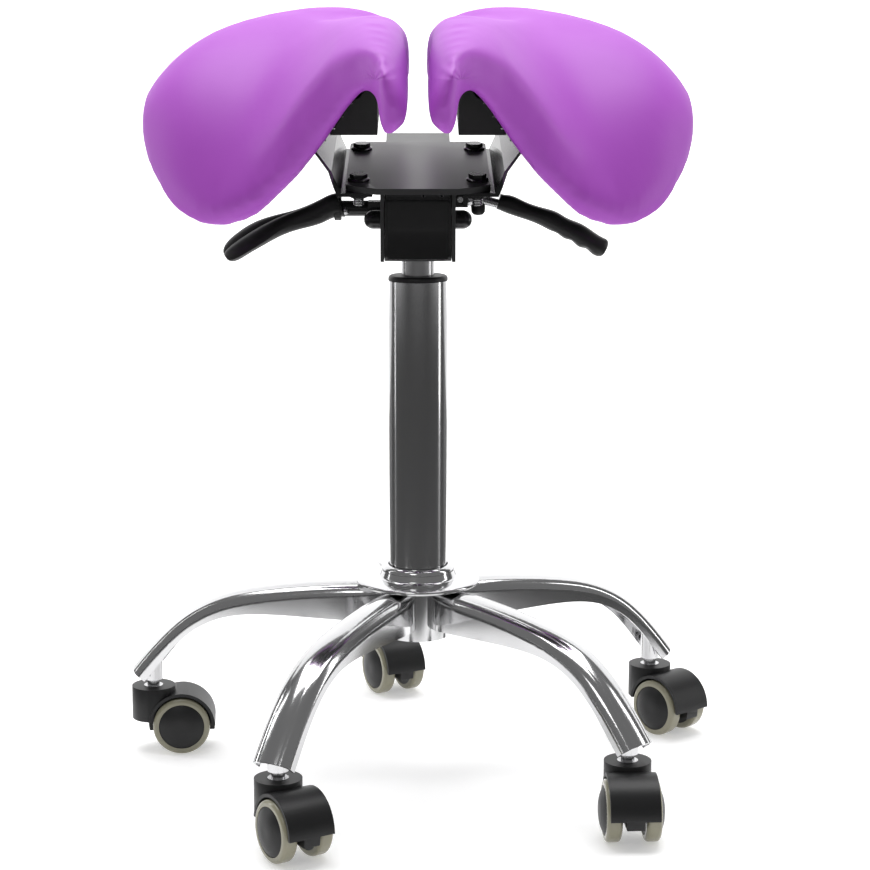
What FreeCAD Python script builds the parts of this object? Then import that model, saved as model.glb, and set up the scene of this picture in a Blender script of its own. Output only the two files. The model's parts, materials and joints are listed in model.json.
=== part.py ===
import FreeCAD, Part
import math
import os

# Saddle stool: two padded seat halves on a tilting mechanism, a gas lift,
# and a chromed base with five legs on twin-wheel casters.
# Lengths are in millimetres and angles in degrees. +Z is up, the stool
# faces -Y, and the origin is on the floor under the column.

Vector = FreeCAD.Vector
UP = Vector(0, 0, 1)
ACROSS = Vector(1, 0, 0)
BACK = Vector(0, 1, 0)

# Clearances
RUNNING_FIT = 0.05
PART_GAP = 0.3
SLIDING_GAP = 0.5

# Casters
CASTER_CIRCLE_RADIUS = 240.0
FIRST_LEG_ANGLE = 26.7
TRAIL_ANGLES = (-49.5, -61.6, 4.0, -58.0, -87.3)
WHEEL_DIAMETER = 50.5
TREAD_THICKNESS = 5.2
TREAD_WIDTH = 12.6
TREAD_EDGE_RADIUS = 3.2
HALF_TRACK = 15.8
CAP_BULGE = 4.6
CAP_FLAT_DIAMETER = 8.0
WHEEL_BOSS_DIAMETER = 16.0
AXLE_DIAMETER = 6.0
AXLE_LENGTH = 45.0
TRAIL = 25.0
HOOD_TOP_HEIGHT = 58.5
HOOD_NECK_DIAMETER = 38.4
HOOD_NECK_DROP = 29.0
HOOD_WIDTH = 40.0
HOOD_WEB_WIDTH = 14.0
HOOD_WALL = 2.8
HOOD_WHEEL_GAP = 1.6
HOOD_TAIL_ANGLE = 0.0
HOOD_WEB_FLOOR_GAP = 18.0
STEM_DIAMETER = 11.0
STEM_DEPTH = 24.0
STEM_HEIGHT_IN_SOCKET = 20.0
STEM_COLLAR_DIAMETER = 17.0
STEM_COLLAR_THICKNESS = 2.5
SOCKET_WALL = 3.0
SOCKET_TOP_HEIGHT = 108.0

# Legs: along each leg the height of the top line, its fall in degrees, and
# the depth and width of the channel, at these distances from the column.
# Corner and crown are shares of the width.
LEG_DISTANCES = (20.0, 48.0, 87.0, 141.0, 178.0, 205.0, 233.0, 257.0)
LEG_TOP_HEIGHTS = (163.0, 162.3, 160.3, 153.3, 143.8, 129.5, 104.2, 75.5)
LEG_FALLS = (1.0, 2.5, 5.0, 10.0, 24.0, 38.0, 50.0, 54.0)
LEG_DEPTHS = (34.0, 33.0, 29.5, 21.5, 17.5, 16.0, 16.0, 16.5)
LEG_WIDTHS = (15.0, 32.0, 34.0, 34.0, 34.0, 34.0, 34.0, 34.0)
LEG_WALL = 2.2
LEG_CORNER = 0.35
LEG_CROWN = 0.07

# Hub
HUB_DIAMETER = 53.0
HUB_BOTTOM = 116.0
HUB_TOP = 175.0
CAP_RIM_DIAMETER = 107.0
CAP_RIM_THICKNESS = 4.0
CAP_FLANGE_RISE = 1.5
CAP_COLLAR_DIAMETER = 66.0
CAP_COLLAR_HEIGHT = 12.5
CAP_MOUTH_GAP = 1.0

# Column
COLUMN_DIAMETER = 50.0
COLUMN_WALL = 1.5
COLUMN_TOP = 427.0
COLUMN_TAPER_TOP = 182.0
COLUMN_FOOT_DIAMETER = 47.8
COLUMN_FOOT_THICKNESS = 4.0
COLUMN_FOOT_RAISE = 3.0
BUSH_FLANGE_DIAMETER = 50.6
BUSH_FLANGE_THICKNESS = 4.5
BUSH_LENGTH = 80.0
CYLINDER_DIAMETER = 28.0
CYLINDER_WALL = 2.0
CYLINDER_BOTTOM = 148.0
CYLINDER_SEAL_THICKNESS = 12.0
CYLINDER_HEAD_LENGTH = 44.0
TAPER_LENGTH = 34.0
TAPER_TOP_DIAMETER = 26.4
RELEASE_PIN_DIAMETER = 8.0
RELEASE_PIN_PROUD = 6.8
RELEASE_PIN_TRAVEL = 3.5
ROD_DIAMETER = 10.0
ROD_TAIL_DIAMETER = 8.0
ROD_TOP = 390.0
PISTON_HEIGHT = 16.0
BEARING_THICKNESS = 5.0
BEARING_DIAMETER = 22.0
BUFFER_DIAMETER = 20.0
CLIP_DIAMETER = 16.0
CLIP_THICKNESS = 2.0
CLIP_GAP = 0.3

# Mechanism
HOUSING_WIDTH = 55.6
HOUSING_FRONT = -38.0
HOUSING_BACK = 38.0
HOUSING_BOTTOM = 446.5
HOUSING_TOP = 506.0
HOUSING_WALL = 3.0
HOUSING_BEND_RADIUS = 6.0
TAPER_SEAT_DIAMETER = 40.0
PIVOT_HEIGHT = 478.5
PIVOT_DIAMETER = 10.0
PIVOT_INNER_END = 21.2
PIVOT_BOSS_DIAMETER = 17.0
PIVOT_HEAD_DIAMETER = 16.0
PIVOT_HEAD_LENGTH = 14.2
EAR_THICKNESS = 3.0
EAR_SIDE_GAP = 0.5
EAR_BACK = 8.0
SEAT_TILT = 9.5
PLATE_TOP_OVER_PIVOT = 46.0
PLATE_THICKNESS = 5.0
PLATE_WIDTH = 118.0
PLATE_FRONT = -79.0
PLATE_BACK = 94.0
PLATE_NOSE_WIDTH = 66.0
PLATE_CHAMFER = 8.0
PLATE_TONGUE_WIDTH = 56.0
PLATE_TONGUE_LENGTH = 35.0
BOLT_SPACING = 97.4
BOLT_ROW_SPACING = 114.0
BOLT_ROW_CENTRE = 8.0
BOLT_DIAMETER = 8.0
BOLT_HEAD_WIDTH = 13.0
BOLT_HEAD_HEIGHT = 5.3
BOLT_NUT_HEIGHT = 6.5
BOLT_END_LENGTH = 13.0
SLOT_CLEARANCE = 0.4
SEAT_SPREAD_TRAVEL = 3.0

# Height lever, on the stool's right-hand side in the seat and seen at the left
LEVER_LINE = 24.0
HEIGHT_LEVER_AXIS_HEIGHT = 486.0
HEIGHT_LEVER_TUBE_DIAMETER = 13.5
LEVER_FULCRUM = 36.0
LEVER_PIN_DIAMETER = 5.0
LEVER_TAB_THICKNESS = 3.0
LEVER_TAB_REACH = 1.0
LEVER_TAB_WIDTH = 34.0
BRACKET_TAB_THICKNESS = 2.5
BRACKET_TAB_SIZE = 13.0
LEVER_TUBE_OUTER_END = 78.0
LEVER_TUBE_INNER_END = 16.0
WINDOW_MARGIN = 2.2
PADDLE_STATIONS = (66.0, 84.0, 101.0, 118.0, 135.0, 151.0, 161.0, 165.0)
PADDLE_HEIGHTS = (488.8, 483.0, 477.0, 472.0, 465.0, 455.5, 448.0, 444.8)
PADDLE_THICKNESSES = (21.0, 18.5, 16.0, 13.0, 11.0, 10.0, 9.0, 5.0)
PADDLE_WIDTHS = (21.0, 19.0, 18.5, 27.0, 36.0, 37.0, 30.0, 16.0)
PADDLE_ROLLS = (0.0, 0.0, 6.0, 16.0, 24.0, 24.0, 22.0, 18.0)

# Tilt lever, seen at the right
TILT_LEVER_HEIGHT = 494.0
TILT_ROD_DIAMETER = 8.0
TILT_ROD_INNER_END = 10.0
TILT_ROD_BEND = 53.0
TILT_ROD_OUTER_END = 88.0
TILT_ROD_DROP = 9.5
GRIP_STATIONS = (69.0, 74.0, 88.0, 105.0, 116.0, 124.0, 136.0, 147.0, 156.0, 161.0)
GRIP_HEIGHTS = (492.0, 490.6, 485.5, 479.5, 475.0, 470.5, 464.5, 457.8, 453.0, 450.5)
GRIP_THICKNESSES = (13.0, 13.5, 13.0, 12.5, 14.5, 14.0, 16.0, 15.5, 15.0, 8.0)
GRIP_WIDTHS = (16.0, 18.0, 20.0, 24.0, 26.0, 27.0, 28.0, 27.0, 24.0, 13.0)
GRIP_ROLLS = (0.0, 0.0, 0.0, 0.0, 0.0, 0.0, 0.0, 0.0, 0.0, 0.0)

# Seat halves: at these distances from the middle line, where the cushion's
# front edge and back edge lie, and how high its top line and its rim run
SEAT_STATIONS = (8.0, 20.0, 32.5, 37.0, 54.0, 80.0, 108.0, 138.0, 168.0, 198.0, 222.0, 236.0)
FRONT_EDGE_PLACES = (-152.0, -166.0, -155.0, -141.0, -114.0, -92.0, -76.0, -62.0, -48.0, -26.0, 4.0, 30.0)
FRONT_EDGE_HEIGHTS = (584.0, 603.0, 616.2, 619.0, 616.0, 592.0, 552.0, 510.0, 492.0, 500.0, 522.0, 542.0)
RIM_PLACES = (-146.0, -154.0, -142.0, -126.0, -98.0, -74.0, -58.0, -44.0, -30.0, -8.0, 18.0, 38.0)
RIM_HEIGHTS = (570.0, 552.5, 568.0, 592.5, 572.0, 536.0, 502.0, 478.0, 472.0, 480.0, 507.0, 531.0)
CROWN_PLACES = (110.0, 114.0, 116.9, 118.0, 118.0, 118.0, 116.0, 110.0, 102.0, 92.0, 78.0, 64.0)
CROWN_HEIGHTS = (622.0, 638.0, 645.5, 648.0, 653.0, 654.5, 652.5, 647.0, 638.0, 621.5, 597.0, 571.0)
BACK_EDGE_PLACES = (160.0, 176.0, 181.3, 183.0, 187.0, 188.0, 185.0, 178.0, 166.0, 146.0, 116.0, 88.0)
BACK_EDGE_DROPS = (22.0, 16.0, 16.0, 16.0, 17.0, 18.0, 20.0, 22.0, 24.0, 26.0, 24.0, 20.0)
SADDLE_SAGS = (0.0, 3.0, 4.9, 6.0, 8.0, 9.0, 4.0, -6.0, -14.0, -16.0, -12.0, -6.0)
CUSHION_THICKNESSES = (26.0, 40.0, 43.4, 44.0, 44.0, 44.0, 44.0, 44.0, 42.0, 38.0, 30.0, 20.0)
EDGE_BULGE = 4.0
UNDERSIDE_BOW = 1.5
BOARD_INNER_EDGE = 33.0
BOARD_OUTER_EDGE = 108.0
BOARD_FRONT = -47.0
BOARD_BACK = 85.0
BOARD_BOTTOM_OVER_PIVOT = 83.0
BOARD_DEPTH = 50.0

# Seat brackets
FLANGE_INNER_EDGE = 37.0
BRACKET_THICKNESS = 3.0
BRACKET_BEND = 65.5
BRACKET_FRONT = -74.0
BRACKET_BACK = 88.0
WING_KNEE = 73.0
WING_KNEE_OVER_PIVOT = 57.0
WING_TIP = 103.0
WING_TIP_OVER_PIVOT = 84.6
WING_TRIM_START = 68.0
WING_TRIM_BACK = 62.0

WHEEL_RADIUS = WHEEL_DIAMETER / 2
CORE_RADIUS = WHEEL_RADIUS - TREAD_THICKNESS
AXLE_RADIUS = AXLE_DIAMETER / 2
STEM_RADIUS = STEM_DIAMETER / 2
COLUMN_RADIUS = COLUMN_DIAMETER / 2
FOOT_RADIUS = COLUMN_FOOT_DIAMETER / 2
CYLINDER_RADIUS = CYLINDER_DIAMETER / 2
TAPER_TOP_RADIUS = TAPER_TOP_DIAMETER / 2
ROD_RADIUS = ROD_DIAMETER / 2
TAPER_BOTTOM_HEIGHT = HOUSING_BOTTOM + 1.5
CYLINDER_TOP = TAPER_BOTTOM_HEIGHT + TAPER_LENGTH
RELEASE_PIN_TOP = CYLINDER_TOP + RELEASE_PIN_PROUD
COLUMN_BOTTOM = HUB_BOTTOM + COLUMN_FOOT_RAISE
FOOT_TOP = COLUMN_BOTTOM + COLUMN_FOOT_THICKNESS
BEARING_TOP = FOOT_TOP + BEARING_THICKNESS
EAR_INNER = HOUSING_WIDTH / 2 + EAR_SIDE_GAP
EAR_OUTER = EAR_INNER + EAR_THICKNESS
PLATE_UNDERSIDE = PLATE_TOP_OVER_PIVOT - PLATE_THICKNESS


def cylinder(radius, height, base, direction=UP):
    """Round bar of a given length that starts at base."""
    return Part.makeCylinder(radius, height, base, direction)


def block(low, high):
    """Box between two opposite corners."""
    size = high.sub(low)
    return Part.makeBox(size.x, size.y, size.z, low)


def turned(edges_points, axis=UP, centre=Vector(0, 0, 0)):
    """Solid of revolution from a closed outline of line and arc spans."""
    face = Part.Face(outline(edges_points))
    return face.revolve(centre, axis, 360)


def outline(spans):
    """Closed wire: a two-point span is a line and a three-point span an arc."""
    edges = []
    for span in spans:
        if len(span) == 2:
            edges.append(Part.LineSegment(span[0], span[1]).toShape())
        else:
            edges.append(Part.Arc(span[0], span[1], span[2]).toShape())
    return Part.Wire(edges)


def radial(points):
    """Close a list of (radius, height) points into straight spans."""
    corners = [Vector(r, 0, z) for r, z in points]
    return [(corners[i], corners[(i + 1) % len(corners)]) for i in range(len(corners))]


def ring(outer, inner, bottom, top):
    """Flat-ended tube on the column's axis."""
    height = top - bottom
    tube = cylinder(outer, height, Vector(0, 0, bottom))
    return tube.cut(cylinder(inner, height + 2, Vector(0, 0, bottom - 1)))


def turn_about_column(shape, angle):
    """Copy of a shape, turned about the column."""
    copy = shape.copy()
    copy.rotate(Vector(0, 0, 0), UP, angle)
    return copy


def mirror_side(shape):
    """Copy of a shape on the other side of the middle plane."""
    return shape.mirror(Vector(0, 0, 0), ACROSS)


def tilted(shape):
    """Lean a shape drawn level forward about the pivot, as the seat is at rest."""
    copy = shape.copy()
    copy.rotate(Vector(0, 0, PIVOT_HEIGHT), ACROSS, SEAT_TILT)
    return copy


def largest_solid(shape):
    """The biggest of the solids that a cut leaves."""
    return max(shape.Solids, key=lambda solid: solid.Volume)


def leg_angle(index):
    """Direction of one leg, in degrees from +X."""
    return FIRST_LEG_ANGLE + index * 360.0 / len(TRAIL_ANGLES)


def place_caster(shape, index):
    """Move a caster piece from its own frame, trailing along +X, to its leg."""
    copy = shape.copy()
    copy.rotate(Vector(0, 0, 0), UP, TRAIL_ANGLES[index])
    angle = math.radians(leg_angle(index))
    copy.translate(Vector(CASTER_CIRCLE_RADIUS * math.cos(angle), CASTER_CIRCLE_RADIUS * math.sin(angle), 0))
    return copy


def wheel_axis_point(offset=0.0):
    """Point on the axle of a caster in its own frame."""
    return Vector(TRAIL, offset, WHEEL_RADIUS)


def across_wheel(radius, low, high):
    """Round bar on the axle between two offsets from the caster's middle."""
    return cylinder(radius, high - low, wheel_axis_point(low), BACK)


def make_hood():
    """Caster hood: fender over the wheels, web between them and neck on the stem."""
    half = HOOD_WIDTH / 2
    web = HOOD_WEB_WIDTH / 2
    inner = WHEEL_RADIUS + HOOD_WHEEL_GAP
    outer = inner + HOOD_WALL
    shell = across_wheel(outer, -half, half)
    reach = 2 * outer
    tail = math.radians(HOOD_TAIL_ANGLE)
    keep_tail = outline(radial([(TRAIL, WHEEL_RADIUS),
                                (TRAIL + reach * math.cos(tail), WHEEL_RADIUS + reach * math.sin(tail)),
                                (TRAIL + reach, WHEEL_RADIUS + reach),
                                (TRAIL - reach, WHEEL_RADIUS + reach),
                                (TRAIL - reach, HOOD_NECK_DROP),
                                (TRAIL, HOOD_NECK_DROP)]))
    slab = Part.Face(keep_tail).extrude(Vector(0, HOOD_WIDTH, 0))
    slab.translate(Vector(0, -half, 0))
    shell = shell.common(slab)
    web_disc = across_wheel(outer, -web, web)
    web_disc = web_disc.cut(block(Vector(-reach, -half, -reach), Vector(2 * reach, half, HOOD_WEB_FLOOR_GAP)))
    neck_height = HOOD_TOP_HEIGHT - HOOD_NECK_DROP
    neck = cylinder(HOOD_NECK_DIAMETER / 2, neck_height, Vector(0, 0, HOOD_NECK_DROP))
    body = shell.fuse(neck)
    for side in (-1, 1):
        low = min(side * web, side * (half + 5))
        high = max(side * web, side * (half + 5))
        body = body.cut(across_wheel(inner, low, high))
    body = body.fuse(web_disc).removeSplitter()
    stem_hole = cylinder(STEM_RADIUS + RUNNING_FIT, STEM_DEPTH + 2,
                         Vector(0, 0, HOOD_TOP_HEIGHT - STEM_DEPTH - PART_GAP))
    body = body.cut(stem_hole)
    collar_seat = cylinder(STEM_COLLAR_DIAMETER / 2 + RUNNING_FIT, STEM_COLLAR_THICKNESS + 1,
                           Vector(0, 0, HOOD_TOP_HEIGHT - STEM_COLLAR_THICKNESS))
    body = body.cut(collar_seat)
    return body.cut(across_wheel(AXLE_RADIUS, -half, half))


def make_axle():
    """Steel axle of one caster."""
    return across_wheel(AXLE_RADIUS, -AXLE_LENGTH / 2, AXLE_LENGTH / 2)


def make_wheel_core(side):
    """Black wheel disc with a domed outer cap; side is +1 or -1."""
    bore = AXLE_RADIUS + RUNNING_FIT
    boss_start = HOOD_WEB_WIDTH / 2 + PART_GAP
    boss = WHEEL_BOSS_DIAMETER / 2
    inner_face = HALF_TRACK - TREAD_WIDTH / 2 + 0.5
    outer_face = HALF_TRACK + TREAD_WIDTH / 2 - 0.5
    bore_end = AXLE_LENGTH / 2 + PART_GAP
    dome = outer_face + CAP_BULGE
    dome_flat = CAP_FLAT_DIAMETER / 2
    mid = (CORE_RADIUS * 0.66, outer_face + CAP_BULGE * 0.68)

    def at(radius, offset):
        return Vector(TRAIL + radius, side * offset, WHEEL_RADIUS)

    spans = [(at(bore, boss_start), at(boss, boss_start)),
             (at(boss, boss_start), at(boss, inner_face)),
             (at(boss, inner_face), at(CORE_RADIUS, inner_face)),
             (at(CORE_RADIUS, inner_face), at(CORE_RADIUS, outer_face)),
             (at(CORE_RADIUS, outer_face), at(*mid), at(dome_flat, dome)),
             (at(dome_flat, dome), at(0, dome)),
             (at(0, dome), at(0, bore_end)),
             (at(0, bore_end), at(bore, bore_end)),
             (at(bore, bore_end), at(bore, boss_start))]
    return turned(spans, BACK, wheel_axis_point())


def make_tread(side):
    """Soft tread ring around one wheel core."""
    inner = HALF_TRACK - TREAD_WIDTH / 2
    outer = HALF_TRACK + TREAD_WIDTH / 2
    edge = TREAD_EDGE_RADIUS
    bend = edge * (1 - math.sqrt(0.5))

    def at(radius, offset):
        return Vector(TRAIL + radius, side * offset, WHEEL_RADIUS)

    spans = [(at(CORE_RADIUS, inner), at(WHEEL_RADIUS - edge, inner)),
             (at(WHEEL_RADIUS - edge, inner), at(WHEEL_RADIUS - bend, inner + bend), at(WHEEL_RADIUS, inner + edge)),
             (at(WHEEL_RADIUS, inner + edge), at(WHEEL_RADIUS, outer - edge)),
             (at(WHEEL_RADIUS, outer - edge), at(WHEEL_RADIUS - bend, outer - bend), at(WHEEL_RADIUS - edge, outer)),
             (at(WHEEL_RADIUS - edge, outer), at(CORE_RADIUS, outer)),
             (at(CORE_RADIUS, outer), at(CORE_RADIUS, inner))]
    return turned(spans, BACK, wheel_axis_point())


def make_stem():
    """Caster stem with the collar that shows on top of the hood."""
    bottom = HOOD_TOP_HEIGHT - STEM_DEPTH
    top = HOOD_TOP_HEIGHT + STEM_HEIGHT_IN_SOCKET + SOCKET_WALL
    pin = cylinder(STEM_RADIUS, top - bottom, Vector(0, 0, bottom))
    collar = cylinder(STEM_COLLAR_DIAMETER / 2, STEM_COLLAR_THICKNESS,
                      Vector(0, 0, HOOD_TOP_HEIGHT - STEM_COLLAR_THICKNESS + PART_GAP))
    return pin.fuse(collar).removeSplitter()


def leg_section(distance, height, fall, depth, width):
    """Inverted channel section of a leg, square to its top line."""
    angle = math.radians(fall)
    down = Vector(-math.sin(angle), 0, -math.cos(angle))
    top = Vector(distance, 0, height)
    corner = LEG_CORNER * width
    crown = LEG_CROWN * width

    def at(across, below):
        return top.add(Vector(0, across, 0)).add(Vector(down).multiply(below))

    def arch(half, start, radius):
        shoulder = half - radius * 0.75
        edge = start + crown * 0.6
        knee = (half - radius * 0.22, start + radius * 0.38)
        return [(at(-half, start + radius), at(-knee[0], knee[1]), at(-shoulder, edge)),
                (at(-shoulder, edge), at(0, start), at(shoulder, edge)),
                (at(shoulder, edge), at(knee[0], knee[1]), at(half, start + radius))]

    half = width / 2
    inner_half = half - LEG_WALL
    outer_arch = arch(half, 0, corner)
    inner_arch = [(c, b, a) for a, b, c in reversed(arch(inner_half, LEG_WALL, corner - LEG_WALL))]
    spans = [(at(-half, depth), at(-half, corner))]
    spans += outer_arch
    spans += [(at(half, corner), at(half, depth)),
              (at(half, depth), at(inner_half, depth)),
              (at(inner_half, depth), at(inner_half, corner))]
    spans += inner_arch
    spans += [(at(-inner_half, corner), at(-inner_half, depth)),
              (at(-inner_half, depth), at(-half, depth))]
    return outline(spans)


def make_leg():
    """Pressed leg along +X, trimmed where it meets the hub barrel."""
    stations = zip(LEG_DISTANCES, LEG_TOP_HEIGHTS, LEG_FALLS, LEG_DEPTHS, LEG_WIDTHS)
    shell = Part.makeLoft([leg_section(*station) for station in stations], True, False)
    barrel = cylinder(HUB_DIAMETER / 2, 2 * HUB_TOP, Vector(0, 0, 0))
    return largest_solid(shell.cut(barrel))


def make_socket(leg):
    """Short tube under the leg's tip that holds a caster stem, cut off by the leg."""
    base = Vector(CASTER_CIRCLE_RADIUS, 0, HOOD_TOP_HEIGHT + 2 * SOCKET_WALL)
    tube = cylinder(STEM_RADIUS + SOCKET_WALL, SOCKET_TOP_HEIGHT - base.z, base)
    hole = cylinder(STEM_RADIUS, STEM_HEIGHT_IN_SOCKET + SOCKET_WALL - 2 * SOCKET_WALL, base)
    pieces = tube.cut(leg).cut(hole)
    return min(pieces.Solids, key=lambda solid: solid.BoundBox.ZMin)


def make_hub_barrel():
    """Barrel that the legs are welded to, with the tapered seat of the column."""
    outside = cylinder(HUB_DIAMETER / 2, HUB_TOP - HUB_BOTTOM, Vector(0, 0, HUB_BOTTOM))
    return outside.cut(column_outer_form())


def column_radius_at(height):
    """Outer radius of the column tube where it tapers into the hub."""
    share = (height - COLUMN_BOTTOM) / (COLUMN_TAPER_TOP - COLUMN_BOTTOM)
    return FOOT_RADIUS + share * (COLUMN_RADIUS - FOOT_RADIUS)


def column_outer_form():
    """Outside of the column tube, drawn on below its foot."""
    low = column_radius_at(HUB_BOTTOM - 1)
    return turned(radial([(0, HUB_BOTTOM - 1), (low, HUB_BOTTOM - 1), (COLUMN_RADIUS, COLUMN_TAPER_TOP),
                          (COLUMN_RADIUS, COLUMN_TOP), (0, COLUMN_TOP)]))


def make_hub_cap():
    """Chromed cap over the leg roots, with its raised collar."""
    rim = CAP_RIM_DIAMETER / 2
    low = LEG_TOP_HEIGHTS[0] + PART_GAP
    flange = low + CAP_RIM_THICKNESS
    root = flange + CAP_FLANGE_RISE
    collar = CAP_COLLAR_DIAMETER / 2
    mouth = COLUMN_RADIUS + CAP_MOUTH_GAP
    top = low + CAP_RIM_THICKNESS + CAP_COLLAR_HEIGHT
    bore = HUB_DIAMETER / 2 + RUNNING_FIT
    round_off = CAP_RIM_THICKNESS / 2
    lip = 2.0

    def at(radius, height):
        return Vector(radius, 0, height)

    spans = [(at(bore, low), at(rim - round_off, low)),
             (at(rim - round_off, low), at(rim, low + round_off), at(rim - round_off, flange)),
             (at(rim - round_off, flange), at(collar + 2, root)),
             (at(collar + 2, root), at(collar + 0.6, root + 0.8), at(collar, root + 2)),
             (at(collar, root + 2), at(collar - 1.5, top - 5)),
             (at(collar - 1.5, top - 5), at(collar - 3.2, top - 1.2), at(collar - 6, top)),
             (at(collar - 6, top), at(mouth, top)),
             (at(mouth, top), at(mouth, top - lip)),
             (at(mouth, top - lip), at(bore, HUB_TOP + PART_GAP)),
             (at(bore, HUB_TOP + PART_GAP), at(bore, low))]
    return turned(spans)


def make_column_tube():
    """Chromed outer tube with a tapered, closed foot."""
    inner = COLUMN_RADIUS - COLUMN_WALL
    tail_hole = ROD_TAIL_DIAMETER / 2 + RUNNING_FIT
    shape = radial([(tail_hole, COLUMN_BOTTOM), (FOOT_RADIUS, COLUMN_BOTTOM),
                    (COLUMN_RADIUS, COLUMN_TAPER_TOP), (COLUMN_RADIUS, COLUMN_TOP),
                    (inner, COLUMN_TOP), (inner, COLUMN_TAPER_TOP),
                    (FOOT_RADIUS - COLUMN_WALL, FOOT_TOP), (tail_hole, FOOT_TOP)])
    return turned(shape)


def make_column_bush():
    """Guide bush inside the tube, with the flange that shows on top of it."""
    bore = CYLINDER_RADIUS + RUNNING_FIT
    sleeve = COLUMN_RADIUS - COLUMN_WALL
    flange = BUSH_FLANGE_DIAMETER / 2
    top = COLUMN_TOP + BUSH_FLANGE_THICKNESS
    soft = 2.5

    def at(radius, height):
        return Vector(radius, 0, height)

    spans = [(at(bore, COLUMN_TOP - BUSH_LENGTH), at(sleeve, COLUMN_TOP - BUSH_LENGTH)),
             (at(sleeve, COLUMN_TOP - BUSH_LENGTH), at(sleeve, COLUMN_TOP)),
             (at(sleeve, COLUMN_TOP), at(flange, COLUMN_TOP)),
             (at(flange, COLUMN_TOP), at(flange, top - soft)),
             (at(flange, top - soft), at(flange - 0.3 * soft, top - 0.3 * soft), at(flange - soft, top)),
             (at(flange - soft, top), at(bore, top)),
             (at(bore, top), at(bore, COLUMN_TOP - BUSH_LENGTH))]
    return turned(spans)


def cylinder_cone(extra):
    """Tapered head of the gas cylinder, wider by extra."""
    return turned(radial([(0, TAPER_BOTTOM_HEIGHT), (CYLINDER_RADIUS + extra, TAPER_BOTTOM_HEIGHT),
                          (TAPER_TOP_RADIUS + extra, CYLINDER_TOP), (0, CYLINDER_TOP)]))


def make_gas_cylinder():
    """Gas cylinder: sealed chamber for the piston and a head with the valve bore."""
    chamber = CYLINDER_RADIUS - CYLINDER_WALL
    chamber_top = CYLINDER_TOP - CYLINDER_HEAD_LENGTH
    rod_hole = ROD_RADIUS + RUNNING_FIT
    pin_hole = RELEASE_PIN_DIAMETER / 2 + RUNNING_FIT
    seal_top = CYLINDER_BOTTOM + CYLINDER_SEAL_THICKNESS
    body = cylinder(CYLINDER_RADIUS, TAPER_BOTTOM_HEIGHT - CYLINDER_BOTTOM, Vector(0, 0, CYLINDER_BOTTOM))
    body = body.fuse(cylinder_cone(0)).removeSplitter()
    body = body.cut(cylinder(chamber, chamber_top - seal_top, Vector(0, 0, seal_top)))
    body = body.cut(cylinder(rod_hole, CYLINDER_SEAL_THICKNESS + 2, Vector(0, 0, CYLINDER_BOTTOM - 1)))
    return body.cut(cylinder(pin_hole, CYLINDER_HEAD_LENGTH, Vector(0, 0, chamber_top)))


def make_release_pin():
    """Valve pin that the height lever presses."""
    bottom = CYLINDER_TOP - CYLINDER_HEAD_LENGTH + RELEASE_PIN_TRAVEL + SLIDING_GAP
    return cylinder(RELEASE_PIN_DIAMETER / 2, RELEASE_PIN_TOP - bottom, Vector(0, 0, bottom))


def make_piston_rod():
    """Piston rod: it stands on the thrust bearing and carries the piston."""
    tail_bottom = COLUMN_BOTTOM - CLIP_GAP - CLIP_THICKNESS - 1.0
    tail = cylinder(ROD_TAIL_DIAMETER / 2, BEARING_TOP - tail_bottom, Vector(0, 0, tail_bottom))
    rod = cylinder(ROD_RADIUS, ROD_TOP - BEARING_TOP, Vector(0, 0, BEARING_TOP))
    piston = cylinder(CYLINDER_RADIUS - CYLINDER_WALL - RUNNING_FIT, PISTON_HEIGHT, Vector(0, 0, ROD_TOP))
    return tail.fuse(rod).fuse(piston)


def make_rod_fittings():
    """Thrust bearing, rubber buffer and retaining clip of the piston rod."""
    bearing = ring(BEARING_DIAMETER / 2, ROD_TAIL_DIAMETER / 2, FOOT_TOP, BEARING_TOP)
    buffer = ring(BUFFER_DIAMETER / 2, ROD_RADIUS, BEARING_TOP, CYLINDER_BOTTOM - PART_GAP)
    clip_top = COLUMN_BOTTOM - CLIP_GAP
    clip = ring(CLIP_DIAMETER / 2, ROD_TAIL_DIAMETER / 2, clip_top - CLIP_THICKNESS, clip_top)
    return Part.makeCompound([bearing, buffer, clip])


def lever_bracket(side, height):
    """Two tabs on the housing's side that hold a lever's cross pin."""
    tabs = []
    reach = LEVER_FULCRUM + BRACKET_TAB_SIZE / 2
    for hand in (-1, 1):
        near = LEVER_LINE + hand * (HEIGHT_LEVER_TUBE_DIAMETER / 2 + PART_GAP)
        far = near + hand * BRACKET_TAB_THICKNESS
        low = Vector(min(side * HOUSING_WIDTH / 2, side * reach), min(near, far), height - BRACKET_TAB_SIZE / 2)
        high = Vector(max(side * HOUSING_WIDTH / 2, side * reach), max(near, far), height + BRACKET_TAB_SIZE / 2)
        tabs.append(block(low, high))
    return tabs


def lever_pin_line(side, height):
    """Lowest point on the axis of a lever's cross pin, and its length."""
    half = HEIGHT_LEVER_TUBE_DIAMETER / 2 + PART_GAP + BRACKET_TAB_THICKNESS
    return Vector(side * LEVER_FULCRUM, LEVER_LINE - half, height), 2 * half


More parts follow.
